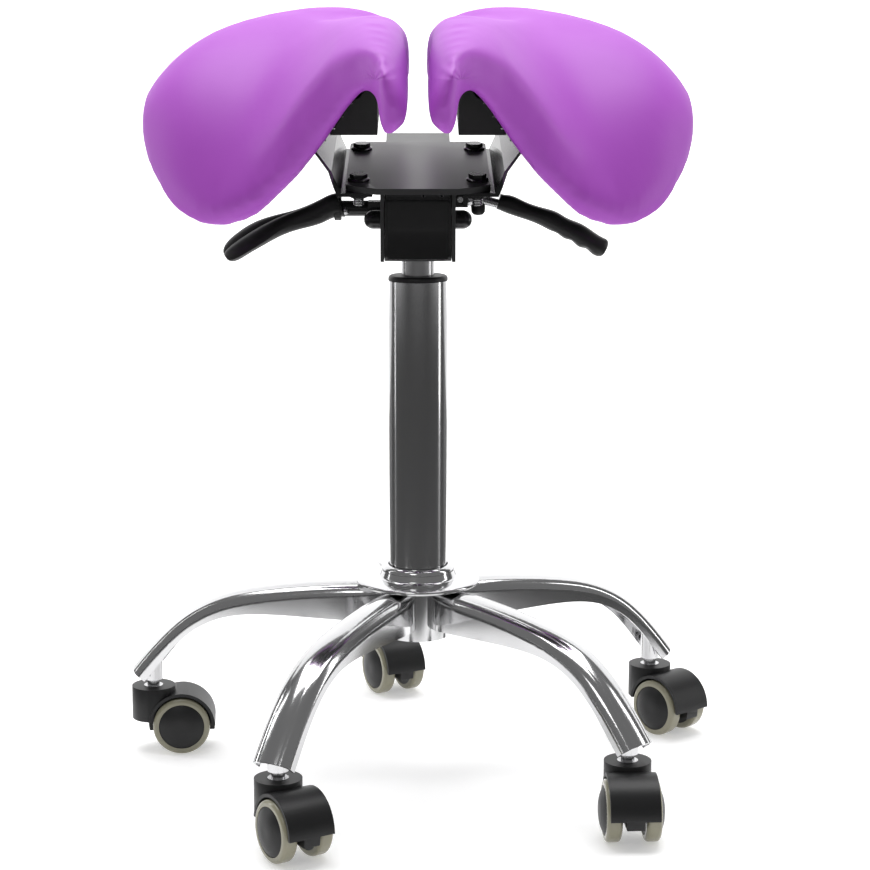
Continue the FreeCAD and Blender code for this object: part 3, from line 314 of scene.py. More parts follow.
@dataclass(frozen=True)
class CoverFinish(Finish):
    """Upholstery with gathers at the notch and black lining cloth underneath."""

    lining: tuple[float, float, float] = (0.012, 0.012, 0.012)
    lining_fade: float = 0.0006
    notch: Place = (0.034, -0.140, 0.599)
    gather_reach: float = 0.024
    gather_depth: float = 0.0005
    gather_count: float = 11.0

    def extras(self, tree: bpy.types.NodeTree) -> None:
        """Lay the gathers over the grain, and the lining's colour under the seat.

        Args:
            tree: Node tree of the material.
        """
        link = tree.links.new
        shader = tree.nodes["Principled BSDF"]
        place = tree.nodes["Texture Coordinate"]
        tone = shader.inputs["Base Color"].links[0].from_socket
        grain = shader.inputs["Normal"].links[0].from_socket
        pleats = tree.nodes.new("ShaderNodeGroup")
        pleats.node_tree = GROUPS.gathers()
        pleats.inputs["Centre"].default_value = self.notch
        pleats.inputs["Reach"].default_value = self.gather_reach
        pleats.inputs["Count"].default_value = self.gather_count
        bump = tree.nodes.new("ShaderNodeBump")
        bump.inputs["Distance"].default_value = self.gather_depth
        bump.inputs["Strength"].default_value = 1.0
        mark = tree.nodes.new("ShaderNodeAttribute")
        mark.attribute_name = "lining"
        edge = tree.nodes.new("ShaderNodeMapRange")
        edge.inputs["From Min"].default_value = -self.lining_fade
        edge.inputs["From Max"].default_value = self.lining_fade
        mix = tree.nodes.new("ShaderNodeMix")
        mix.data_type = "RGBA"
        mix.inputs[7].default_value = (*self.lining, 1.0)
        link(place.outputs["Object"], pleats.inputs["Vector"])
        link(pleats.outputs["Height"], bump.inputs["Height"])
        link(grain, bump.inputs["Normal"])
        link(bump.outputs["Normal"], shader.inputs["Normal"])
        link(mark.outputs["Fac"], edge.inputs["Value"])
        link(edge.outputs["Result"], mix.inputs["Factor"])
        link(tone, mix.inputs[6])
        link(mix.outputs[2], shader.inputs["Base Color"])


COVER = CoverFinish("purple_leather", "purple_cover", (0.378, 0.070, 0.50), (0.353, 0.062, 0.475), 0.47,
                    Grain.LEATHER, grain_scale=900.0, grain_depth=0.00008, grain_strength=0.3, specular=0.38,
                    patch_scale=14.0)
PAN = Finish("black_board", "black_pan", (0.012, 0.012, 0.013), (0.02, 0.02, 0.02), 0.6, Grain.MOULDED,
             grain_scale=700.0)
ENAMEL = Finish("black_enamel", "black_steel", (0.006, 0.006, 0.0065), (0.009, 0.009, 0.0095), 0.24,
                Grain.POWDER, grain_scale=350.0, grain_depth=0.00006, grain_strength=0.25, coat=0.2,
                specular=0.4)
PLATE = Finish("satin_plate_enamel", "black_steel", (0.02, 0.02, 0.021), (0.026, 0.026, 0.027), 0.34,
               Grain.POWDER, grain_scale=500.0, grain_depth=0.00006, grain_strength=0.3, coat=0.15,
               coat_roughness=0.3)
CHROME = Finish("bright_chrome", "base_chrome", (0.66, 0.66, 0.665), (0.6, 0.6, 0.61), 0.11, Grain.PLATED,
                metallic=1.0, spread=0.05, grain_scale=40.0, grain_depth=0.00003, grain_strength=0.1)
STEEL = Finish("ground_steel", "bright_steel", (0.62, 0.62, 0.63), (0.5, 0.5, 0.51), 0.22, Grain.GROUND,
               metallic=1.0, grain_scale=300.0, grain_depth=0.00002, stretch=(1.0, 1.0, 14.0))
NYLON = Finish("black_nylon", "black_plastic", (0.007, 0.007, 0.0075), (0.011, 0.011, 0.0115), 0.4,
               Grain.MOULDED, grain_scale=800.0, grain_depth=0.00008, specular=0.36)
TREAD = Finish("olive_polyurethane", "olive_tread", (0.27, 0.255, 0.18), (0.23, 0.22, 0.155), 0.16,
               Grain.RUBBER, grain_scale=150.0, grain_depth=0.00004, coat=0.3)

FINISH_OF_SLOT = {finish.slot: finish for finish in (COVER, PAN, ENAMEL, CHROME, STEEL, NYLON, TREAD)}


def dress(piece: bpy.types.Object, finish: Finish) -> None:
    """Give a piece one finish all over.

    Args:
        piece: Object to dress.
        finish: Finish that it gets.
    """
    piece.data.materials.clear()
    piece.data.materials.append(finish.material())


def place_on(piece: bpy.types.Object, body: str, finish: Finish,
             replaced: tuple[str, ...] = ()) -> bpy.types.Object:
    """Dress a finished piece and fix it to the body that it moves with.

    Args:
        piece: Finished object, with its place in its mesh.
        body: Name of the body that it rides on.
        finish: Finish of the piece.
        replaced: Nodes of the frame that the piece stands for.

    Returns:
        The same object.
    """
    dress(piece, finish)
    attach(piece, body)
    if replaced:
        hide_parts(*replaced)
    log.info("%s rides on %s, %d faces", piece.name, body, len(piece.data.polygons))
    return piece


def new_piece(name: str, mesh: bpy.types.Mesh) -> bpy.types.Object:
    """Link a new object with this mesh to the scene.

    Args:
        name: Name of the new object.
        mesh: Mesh that it shows.

    Returns:
        The new object.
    """
    piece = bpy.data.objects.new(name, mesh)
    bpy.context.scene.collection.objects.link(piece)
    return piece


def from_bmesh(name: str, form: bmesh.types.BMesh, crease: float = 35.0) -> bpy.types.Object:
    """Turn a bmesh into an object, smooth below the crease angle.

    Args:
        name: Name of the new object.
        form: Shape to turn into a mesh; it is freed.
        crease: Angle in degrees above which an edge stays sharp.

    Returns:
        The new object.
    """
    bmesh.ops.recalc_face_normals(form, faces=form.faces)
    mesh = bpy.data.meshes.new(name)
    form.to_mesh(mesh)
    form.free()
    mesh.shade_smooth()
    mesh.set_sharp_from_angle(angle=math.radians(crease))
    return new_piece(name, mesh)


def settle(piece: bpy.types.Object, crease: float = 35.0) -> bpy.types.Object:
    """Apply every modifier of a piece, so that a plain mesh is left.

    Args:
        piece: Object with live modifiers.
        crease: Angle in degrees above which an edge stays sharp.

    Returns:
        The same object.
    """
    graph = bpy.context.evaluated_depsgraph_get()
    graph.update()
    mesh = bpy.data.meshes.new_from_object(piece.evaluated_get(graph), depsgraph=graph)
    piece.modifiers.clear()
    piece.data = mesh
    mesh.shade_smooth()
    mesh.set_sharp_from_angle(angle=math.radians(crease))
    return piece


def merged_form(node: str, flatten: bool = True) -> bmesh.types.BMesh:
    """Closed copy of a node's mesh, with its flat faces joined.

    Args:
        node: Name of the node.
        flatten: True to join the triangles of flat faces.

    Returns:
        The copy as a bmesh.
    """
    form = bmesh.new()
    form.from_mesh(frame["nodes"][node].data)
    bmesh.ops.remove_doubles(form, verts=form.verts, dist=SAME_POINT)
    if flatten:
        bmesh.ops.dissolve_limit(form, angle_limit=FLAT_WITHIN, verts=form.verts, edges=form.edges)
    return form


def softened_node(node: str, name: str, body: str, finish: Finish, width: float, crease: float = 30.0,
                  segments: int = 2, sharp: float = 25.0) -> bpy.types.Object:
    """Copy of a node with rounded edges, which replaces it.

    Args:
        node: Name of the node.
        name: Name of the new piece.
        body: Body that the piece rides on.
        finish: Finish of the piece.
        width: Width of the rounding in metres.
        crease: Angle in degrees above which an edge is rounded.
        segments: Number of faces across the rounding.
        sharp: Angle in degrees above which an edge is shaded sharp.

    Returns:
        The new piece.
    """
    piece = from_bmesh(name, merged_form(node))
    bevel = piece.modifiers.new("rounding", "BEVEL")
    bevel.width = width
    bevel.segments = segments
    bevel.limit_method = "ANGLE"
    bevel.angle_limit = math.radians(crease)
    bevel.use_clamp_overlap = True
    bevel.harden_normals = False
    settle(piece, sharp)
    return place_on(piece, body, finish, (node,))


def lathed(name: str, profile: list[tuple[float, float]], centre: Vector, axis: Vector,
           steps: int = 48, crease: float = 35.0) -> bpy.types.Object:
    """Turn a closed profile about an axis.

    Args:
        name: Name of the new object.
        profile: Radius and distance along the axis of each corner, in metres.
        centre: Point on the axis from which distances count.
        axis: Direction of the axis.
        steps: Number of faces round the axis.
        crease: Angle in degrees above which an edge stays sharp.

    Returns:
        The new object.
    """
    form = bmesh.new()
    turn = Vector(axis).to_track_quat("Z", "Y").to_matrix()
    rows = []
    for radius, height in profile:
        if radius < ON_AXIS:
            rows.append([form.verts.new(centre + turn @ Vector((0.0, 0.0, height)))])
            continue
        angles = [math.tau * step / steps for step in range(steps)]
        ring = [Vector((radius * math.cos(angle), radius * math.sin(angle), height)) for angle in angles]
        rows.append([form.verts.new(centre + turn @ point) for point in ring])
    for near, far in zip(rows, rows[1:] + rows[:1]):
        if len(near) == 1 and len(far) == 1:
            continue
        for step in range(steps):
            after = (step + 1) % steps
            corners = [near[step % len(near)], near[after % len(near)],
                       far[after % len(far)], far[step % len(far)]]
            form.faces.new(list(dict.fromkeys(corners)))
    return from_bmesh(name, form, crease)


def plate(name: str, low: Vector, high: Vector, edge: float) -> bpy.types.Object:
    """Block between two corners with its edges rounded.

    Args:
        name: Name of the new object.
        low: Lowest corner.
        high: Highest corner.
        edge: Width of the rounding in metres.

    Returns:
        The new object.
    """
    form = bmesh.new()
    bmesh.ops.create_cube(form, size=1.0)
    middle = (low + high) / 2
    size = high - low
    fitted = Matrix.Translation(middle) @ Matrix.Diagonal((*size, 1.0))
    bmesh.ops.transform(form, matrix=fitted, verts=form.verts)
    bmesh.ops.bevel(form, geom=list(form.edges), offset=edge, segments=2, profile=0.6, affect="EDGES")
    return from_bmesh(name, form, 50.0)


class Repeat(Enum):
    """Small form that a row repeats."""

    STAPLE = "staple"
    BEAD = "bead"
    THREAD = "thread"
    SCREW = "screw"


class RowTrees:
    """Geometry Nodes trees that repeat one small form along paths or on marked points."""

    def __init__(self) -> None:
        """Start with no tree built."""
        self._made: dict[Repeat, bpy.types.NodeTree] = {}

    def tree(self, kind: Repeat) -> bpy.types.NodeTree:
        """The tree for one form, built on first use.

        Args:
            kind: Form to repeat.

        Returns:
            Tree with inputs Path, Spacing, Size and Finish.
        """
        if kind in self._made:
            return self._made[kind]
        tree = bpy.data.node_groups.new("row_of_" + kind.value, "GeometryNodeTree")
        face = tree.interface
        face.new_socket(name="Path", in_out="INPUT", socket_type="NodeSocketGeometry")
        face.new_socket(name="Spacing", in_out="INPUT", socket_type="NodeSocketFloat").default_value = 0.01
        face.new_socket(name="Size", in_out="INPUT", socket_type="NodeSocketVector")
        face.new_socket(name="Finish", in_out="INPUT", socket_type="NodeSocketMaterial")
        face.new_socket(name="Row", in_out="OUTPUT", socket_type="NodeSocketGeometry")
        nodes, link = tree.nodes, tree.links.new
        start, end = nodes.new("NodeGroupInput"), nodes.new("NodeGroupOutput")
        curve = nodes.new("GeometryNodeMeshToCurve")
        points = nodes.new("GeometryNodeResampleCurve")
        points.mode = "LENGTH"
        facing = nodes.new("GeometryNodeInputNamedAttribute")
        facing.data_type = "FLOAT_VECTOR"
        facing.inputs["Name"].default_value = "facing"
        run = nodes.new("GeometryNodeInputTangent")
        first = nodes.new("FunctionNodeAlignRotationToVector")
        second = nodes.new("FunctionNodeAlignRotationToVector")
        first.axis, second.axis = ("Z", "X")
        second.pivot_axis = "Z"
        form = self._form(tree, kind, start)
        place = nodes.new("GeometryNodeInstanceOnPoints")
        real = nodes.new("GeometryNodeRealizeInstances")
        paint = nodes.new("GeometryNodeSetMaterial")
        link(start.outputs["Path"], curve.inputs["Mesh"])
        link(curve.outputs["Curve"], points.inputs["Curve"])
        link(start.outputs["Spacing"], points.inputs["Length"])
        link(points.outputs["Curve"], place.inputs["Points"])
        link(form, place.inputs["Instance"])
        if kind is Repeat.THREAD:
            link(run.outputs["Tangent"], first.inputs["Vector"])
            link(first.outputs["Rotation"], place.inputs["Rotation"])
        else:
            link(facing.outputs["Attribute"], first.inputs["Vector"])
            link(first.outputs["Rotation"], second.inputs["Rotation"])
            link(run.outputs["Tangent"], second.inputs["Vector"])
            link(second.outputs["Rotation"], place.inputs["Rotation"])
        link(place.outputs["Instances"], real.inputs["Geometry"])
        link(real.outputs["Geometry"], paint.inputs["Geometry"])
        link(start.outputs["Finish"], paint.inputs["Material"])
        link(paint.outputs["Geometry"], end.inputs["Row"])
        self._made[kind] = tree
        return tree

    def _form(self, tree: bpy.types.NodeTree, kind: Repeat, start: bpy.types.Node) -> bpy.types.NodeSocket:
        """Nodes that make the small form itself.

        Args:
            tree: Tree to build in.
            kind: Form to make.
            start: Input node, which gives Size.

        Returns:
            Socket that puts out the form.
        """
        nodes, link = tree.nodes, tree.links.new
        split = nodes.new("ShaderNodeSeparateXYZ")
        link(start.outputs["Size"], split.inputs[0])
        if kind is Repeat.STAPLE:
            form = nodes.new("GeometryNodeMeshCube")
            link(start.outputs["Size"], form.inputs["Size"])
            return form.outputs["Mesh"]
        if kind is Repeat.BEAD:
            form = nodes.new("GeometryNodeMeshIcoSphere")
            form.inputs["Subdivisions"].default_value = 2
            form.inputs["Radius"].default_value = 0.5
            scaled = nodes.new("GeometryNodeTransform")
            link(form.outputs["Mesh"], scaled.inputs["Geometry"])
            link(start.outputs["Size"], scaled.inputs["Scale"])
            return scaled.outputs["Geometry"]
        if kind is Repeat.SCREW:
            form = nodes.new("GeometryNodeMeshCylinder")
            form.inputs["Vertices"].default_value = 20
            link(split.outputs["X"], form.inputs["Radius"])
            link(split.outputs["Z"], form.inputs["Depth"])
            return form.outputs["Mesh"]
        ring = nodes.new("GeometryNodeCurvePrimitiveCircle")
        wire = nodes.new("GeometryNodeCurvePrimitiveCircle")
        ring.inputs["Resolution"].default_value = 24
        wire.inputs["Resolution"].default_value = 6
        solid = nodes.new("GeometryNodeCurveToMesh")
        link(split.outputs["X"], ring.inputs["Radius"])
        link(split.outputs["Y"], wire.inputs["Radius"])
        link(ring.outputs["Curve"], solid.inputs["Curve"])
        link(wire.outputs["Curve"], solid.inputs["Profile Curve"])
        return solid.outputs["Mesh"]


ROWS = RowTrees()


def row_along(name: str, kind: Repeat, paths: list[list[tuple[Vector, Vector]]], spacing: float,
              size: tuple[float, float, float], body: str, finish: Finish) -> bpy.types.Object:
    """Repeat a small form along paths and fix the row to a body.

    Args:
        name: Name of the new piece.
        kind: Form to repeat.
        paths: For each path, its points, each with the direction that the form faces there.
        spacing: Distance between two forms in metres.
        size: Size of the form in metres: length, width and height, or radius, wire and height.
        body: Body that the row rides on.
        finish: Finish of the row.

    Returns:
        The new piece, as a plain mesh.
    """
    mesh = bpy.data.meshes.new(name + "_path")
    points = [point for path in paths for point, _ in path]
    edges = []
    base = 0
    for path in paths:
        edges += [(base + step, base + step + 1) for step in range(len(path) - 1)]
        base += len(path)
    mesh.from_pydata(points, edges, [])
    facing = mesh.attributes.new("facing", "FLOAT_VECTOR", "POINT")
    for place, direction in enumerate(direction for path in paths for _, direction in path):
        facing.data[place].vector = direction
    piece = new_piece(name, mesh)
    tree = ROWS.tree(kind)
    row = piece.modifiers.new("row", "NODES")
    row.node_group = tree
    values = {"Spacing": spacing, "Size": size, "Finish": finish.material()}
    for item in tree.interface.items_tree:
        if item.item_type == "SOCKET" and item.in_out == "INPUT" and item.name in values:
            row[item.identifier] = values[item.name]
    settle(piece, 30.0)
    return place_on(piece, body, finish)


@dataclass(frozen=True)
class SeatSection:
    """One upright section through the right seat half, with its sizes in millimetres."""

    place: float
    front: tuple[float, float]
    rim: tuple[float, float]
    crown: tuple[float, float]
    back: float
    drop: float
    sag: float
    depth: float

    def values(self) -> list[float]:
        """All sizes in one row, so that sections can be blended."""
        return [*self.front, *self.rim, *self.crown, self.back, self.drop, self.sag, self.depth]


SEAT_SECTIONS = (
    SeatSection(8, (-152, 584), (-146, 570), (110, 622), 160, 22, 0, 26),
    SeatSection(12, (-162, 590), (-152, 558), (112, 630), 168, 18, 2, 34),
    SeatSection(20, (-166, 603), (-154, 552.5), (114, 638), 176, 16, 3, 40),
    SeatSection(28, (-165, 613), (-153, 552.5), (116, 643.5), 180, 16, 4, 43),
    SeatSection(32, (-161, 616), (-149, 556), (117, 645.5), 181.5, 16, 5, 43.5),
    SeatSection(34.5, (-147, 619), (-131, 596), (118, 647), 183, 16, 5.8, 44),
    SeatSection(42, (-131, 620), (-115, 589), (118, 649.5), 184, 16, 6.6, 44),
    SeatSection(54, (-114, 616.5), (-98, 575), (118, 653), 187, 17, 8, 44),
    SeatSection(80, (-92, 592), (-74, 536), (118, 654.5), 188, 18, 9, 44),
    SeatSection(108, (-76, 552), (-58, 502), (116, 652.5), 185, 20, 4, 44),
    SeatSection(138, (-62, 510), (-44, 478), (110, 647), 178, 22, -6, 44),
    SeatSection(168, (-48, 492), (-30, 472), (102, 638), 166, 24, -14, 42),
    SeatSection(198, (-26, 500), (-8, 480), (92, 621.5), 146, 26, -16, 38),
    SeatSection(222, (4, 522), (18, 507), (78, 597), 116, 24, -12, 30),
    SeatSection(236, (30, 542), (38, 531), (64, 571), 88, 20, -6, 20))


def arc_points(start: Vector, middle: Vector, end: Vector, count: int) -> list[Vector]:
    """Points along the arc through three flat points, without its last one.

    Args:
        start: First point.
        middle: Point on the arc.
        end: Last point.
        count: Number of points.

    Returns:
        The points, the first of them start.
    """
    (ax, ay), (bx, by), (cx, cy) = start, middle, end
    twist = 2.0 * (ax * (by - cy) + bx * (cy - ay) + cx * (ay - by))
    if abs(twist) < 1e-3:
        return [start.lerp(end, step / count) for step in range(count)]
    squares = (ax * ax + ay * ay, bx * bx + by * by, cx * cx + cy * cy)
    centre = Vector(((squares[0] * (by - cy) + squares[1] * (cy - ay) + squares[2] * (ay - by)) / twist,
                     (squares[0] * (cx - bx) + squares[1] * (ax - cx) + squares[2] * (bx - ax)) / twist))
    angles = [math.atan2(point.y - centre.y, point.x - centre.x) for point in (start, middle, end)]
    half = (angles[1] - angles[0]) % math.tau
    total = (angles[2] - angles[0]) % math.tau
    if half > total:
        total -= math.tau
    radius = (start - centre).length
    return [centre + Vector((math.cos(angles[0] + total * step / count),
                             math.sin(angles[0] + total * step / count))) * radius for step in range(count)]


@dataclass
class Cushions:
    """The two padded seat halves, swollen from blended sections.

    Sizes of the sections are in millimetres, and those of the mesh and the staples in metres.
    """

    rings: int = 90
    top_steps: int = 40
    shoulder_steps: int = 14
    edge_steps: int = 10
    top_rise: float = 0.07
    shoulder_share: float = 0.55
    shoulder_lift: float = 0.25
    under_bow: float = 1.5
    bulge: float = 8.0
    under_lift: float = 1.6
    lining_margin: float = 11.0
    end_margin_share: float = 0.8
    outside_lining: float = -20.0
    voxel: float = 0.0048
    smooth_before: int = 22
    smooth_after: int = 8
    smooth_factor: float = 0.5
    shrink: float = 0.0005
    frames: int = 20
    pressure: float = 4.0
    tension: float = 30.0
    bending: float = 2.0
    cloth_quality: int = 6
    swell_cap: float = 0.005
    held_cap: float = 0.0008
    held_below: float = -0.45
    free_over: float = 0.5
    staple_spacing: float = 0.014
    staple_size: tuple[float, float, float] = (0.009, 0.0012, 0.0009)
    staple_inset: float = 0.002
    staple_lift: float = 0.0002
    staple_least_points: int = 6
    rings_without_staples: tuple[int, int] = (18, 4)
    firmness: float = 0.9

    def _section_values(self, place: float) -> list[float]:
        """Blend the sections either side of a place, without overshoot.

        Args:
            place: Distance from the middle plane in millimetres.

        Returns:
            Sizes in the order of SeatSection.values.
        """
        places = [section.place for section in SEAT_SECTIONS]
        rows = [section.values() for section in SEAT_SECTIONS]
        last = len(places) - 1
        index = max(0, min(last - 1, sum(1 for value in places if value <= place) - 1))
        gap = places[index + 1] - places[index]
        share = (place - places[index]) / gap

        def slope(at: int, column: int) -> float:
            """Rate of change of one size at one section."""
            if at == 0 or at == last:
                near = 0 if at == 0 else last - 1
                return (rows[near + 1][column] - rows[near][column]) / (places[near + 1] - places[near])
            before = (rows[at][column] - rows[at - 1][column]) / (places[at] - places[at - 1])
            after = (rows[at + 1][column] - rows[at][column]) / (places[at + 1] - places[at])
            return 0.0 if before * after <= 0 else 2.0 * before * after / (before + after)

        blended = []
        for column in range(len(rows[0])):
            low, high = rows[index][column], rows[index + 1][column]
            first, second = slope(index, column) * gap, slope(index + 1, column) * gap
            s2, s3 = share * share, share ** 3
            blended.append((2 * s3 - 3 * s2 + 1) * low + (s3 - 2 * s2 + share) * first
                           + (3 * s2 - 2 * s3) * high + (s3 - s2) * second)
        return blended

    def _ring(self, place: float) -> list[tuple[Vector, float]]:
        """Closed section at one place, each point with its depth inside the lining.

        Args:
            place: Distance from the middle plane in millimetres.

        Returns:
            Points in metres, and for each the distance inside the lining's edge.
        """
        values = self._section_values(place)
        front, rim, crown = Vector(values[0:2]), Vector(values[2:4]), Vector(values[4:6])
        back, drop, sag, depth = values[6:]
        tail = Vector((back, crown.y - drop))
        chord = crown - front
        square = Vector((-chord.y, chord.x)).normalized()
        middle = front + chord * 0.5 + square * (chord.length * self.top_rise - sag)
        shoulder = crown + (tail - crown) * self.shoulder_share + Vector((0.0, drop * self.shoulder_lift))
        top = [front, middle, crown, shoulder, tail]
        under = []
        for step, point in enumerate(top):
            run = top[min(step + 1, len(top) - 1)] - top[max(step - 1, 0)]
            under.append(point + Vector((run.y, -run.x)).normalized() * depth)
        under[0] = rim
        under[3] = (under[2] + under[4]) * 0.5 + Vector((0.0, self.under_bow))

        def bowed(start: Vector, end: Vector) -> Vector:
            """Point halfway along an edge of the pad, pushed out."""
            run = end - start
            return (start + end) * 0.5 + Vector((-run.y, run.x)).normalized() * self.bulge

        count = self.edge_steps
        lift = Vector((0.0, self.under_lift))
        upper = arc_points(front, middle, crown, self.top_steps)
        upper += arc_points(crown, shoulder, tail, self.shoulder_steps)
        upper += arc_points(tail, bowed(tail, under[4]), under[4], count)
        lower = []
        for start, end in zip(reversed(under), list(reversed(under))[1:]):
            lower += [start.lerp(end, step / count) + lift for step in range(count)]
        nose = arc_points(rim + lift, bowed(rim, front), front, count)
        lengths = [0.0]
        for start, end in zip(lower, lower[1:] + nose[:1]):
            lengths.append(lengths[-1] + (end - start).length)
        margin = self.lining_margin
        from_end = min(place - SEAT_SECTIONS[0].place, SEAT_SECTIONS[-1].place - place)
        side = from_end - self.end_margin_share * margin
        inside = [min(run, lengths[-1] - run, side + margin) - margin for run in lengths[:-1]]
        ring = [(point, self.outside_lining) for point in upper]
        ring += [(point, depth_in) for point, depth_in in zip(lower, inside)]
        ring += [(point, self.outside_lining) for point in nose]
        return [(Vector((place, point.x, point.y)) * MM, depth_in * MM) for point, depth_in in ring]

    def _blank(self, loops: list[list[tuple[Vector, float]]]) -> bpy.types.Object:
        """Even quad mesh of the right half, a little inside its final skin.

        Args:
            loops: Sections from the inner end to the outer one.

        Returns:
            The object to swell.
        """
        form = bmesh.new()
        rows = [[form.verts.new(point) for point, _ in loop] for loop in loops]
        for near, far in zip(rows, rows[1:]):
            for step in range(len(near)):
                after = (step + 1) % len(near)
                form.faces.new((near[step], near[after], far[after], far[step]))
        for row in (rows[0], rows[-1]):
            middle = form.verts.new(sum((vertex.co for vertex in row), Vector()) / len(row))
            for step in range(len(row)):
                form.faces.new((row[step], row[(step + 1) % len(row)], middle))
        blank = from_bmesh("cushion_blank", form, 180.0)
        remesh = blank.modifiers.new("even", "REMESH")
        remesh.mode = "VOXEL"
        remesh.voxel_size = self.voxel
        smooth = blank.modifiers.new("ease", "SMOOTH")
        smooth.factor = self.smooth_factor
        smooth.iterations = self.smooth_before
        settle(blank, 180.0)
        for vertex, normal in [(v, v.normal.copy()) for v in blank.data.vertices]:
            vertex.co -= normal * self.shrink
        return blank

    def _swell(self, blank: bpy.types.Object) -> None:
        """Swell the blank with a short cloth run, held back where it faces down.

        Args:
            blank: Object to swell.
        """
        rest = [vertex.co.copy() for vertex in blank.data.vertices]
        cloth = blank.modifiers.new("fill", "CLOTH")
        settings = cloth.settings
        settings.use_pressure = True
        settings.uniform_pressure_force = self.pressure
        settings.effector_weights.gravity = 0.0
        settings.tension_stiffness = self.tension
        settings.bending_stiffness = self.bending
        settings.quality = self.cloth_quality
        cloth.collision_settings.use_collision = False
        scene = bpy.context.scene
        for number in range(1, self.frames + 1):
            scene.frame_set(number)
        settle(blank, 180.0)
        scene.frame_set(1)
        for vertex, start in zip(blank.data.vertices, rest):
            free = max(0.0, min(1.0, (vertex.normal.z - self.held_below) / self.free_over))
            cap = self.held_cap + (self.swell_cap - self.held_cap) * free
            step = vertex.co - start
            if step.length > cap:
                vertex.co = start + step.normalized() * cap
        smooth = blank.modifiers.new("ease", "SMOOTH")
        smooth.factor = self.smooth_factor
        smooth.iterations = self.smooth_after
        settle(blank, 180.0)

    def _staple_path(self, loops: list[list[tuple[Vector, float]]]) -> list[tuple[Vector, Vector]]:
        """Closed path just inside the lining's edge, with the way that staples face.

        Args:
            loops: Sections from the inner end to the outer one.

        Returns:
            Points in metres and their outward directions.
        """
        edges = []
        skipped, cut_off = self.rings_without_staples
        for loop in loops[skipped:-cut_off]:
            inner = [step for step in range(len(loop)) if loop[step][1] > self.staple_inset]
            if len(inner) > self.staple_least_points:
                edges.append((loop, inner[0], inner[-1]))
        path = []
        for pick, order in ((1, edges), (2, list(reversed(edges)))):
            for row in order:
                loop, step = row[0], row[pick]
                run = loop[step + 1][0] - loop[step - 1][0]
                outward = Vector((0.0, -run.z, run.y)).normalized()
                if outward.z > 0:
                    outward.negate()
                path.append((loop[step][0] + outward * self.staple_lift, outward))
        return path + path[:1]

    def build(self) -> None:
        """Make both halves with their staples, and fix them to their bodies."""
        first, last = SEAT_SECTIONS[0].place, SEAT_SECTIONS[-1].place
        loops = [self._ring(first + (last - first) * step / self.rings) for step in range(self.rings + 1)]
        blank = self._blank(loops)
        flat = [(point, mark) for loop in loops for point, mark in loop]
        tree = KDTree(len(flat))
        for place, (point, _) in enumerate(flat):
            tree.insert(point, place)
        tree.balance()
        marks = [mark for _, mark in flat]
        self._swell(blank)
        finer = blank.modifiers.new("finer", "SUBSURF")
        finer.levels = 1
        finer.render_levels = 1
        settle(blank, 180.0)
        lining = blank.data.attributes.new("lining", "FLOAT", "POINT")
        for vertex in blank.data.vertices:
            near = tree.find_n(vertex.co, 4)
            lining.data[vertex.index].value = sum(marks[row[1]] for row in near) / len(near)
        staples = self._staple_path(loops)
        for side, sign in SIDES.items():
            mesh = blank.data.copy()
            if sign < 0:
                mesh.transform(Matrix.Diagonal((-1.0, 1.0, 1.0, 1.0)))
                mesh.flip_normals()
            piece = new_piece("seat_cover_" + side, mesh)
            place_on(piece, "seat_" + side, COVER, ("cushion_" + side,))
            path = [(Vector((sign * point.x, point.y, point.z)), Vector((sign * out.x, out.y, out.z)))
                    for point, out in staples]
            row_along("lining_staples_" + side, Repeat.STAPLE, [path], self.staple_spacing, self.staple_size,
                      "seat_" + side, STEEL)
        bpy.data.objects.remove(blank)


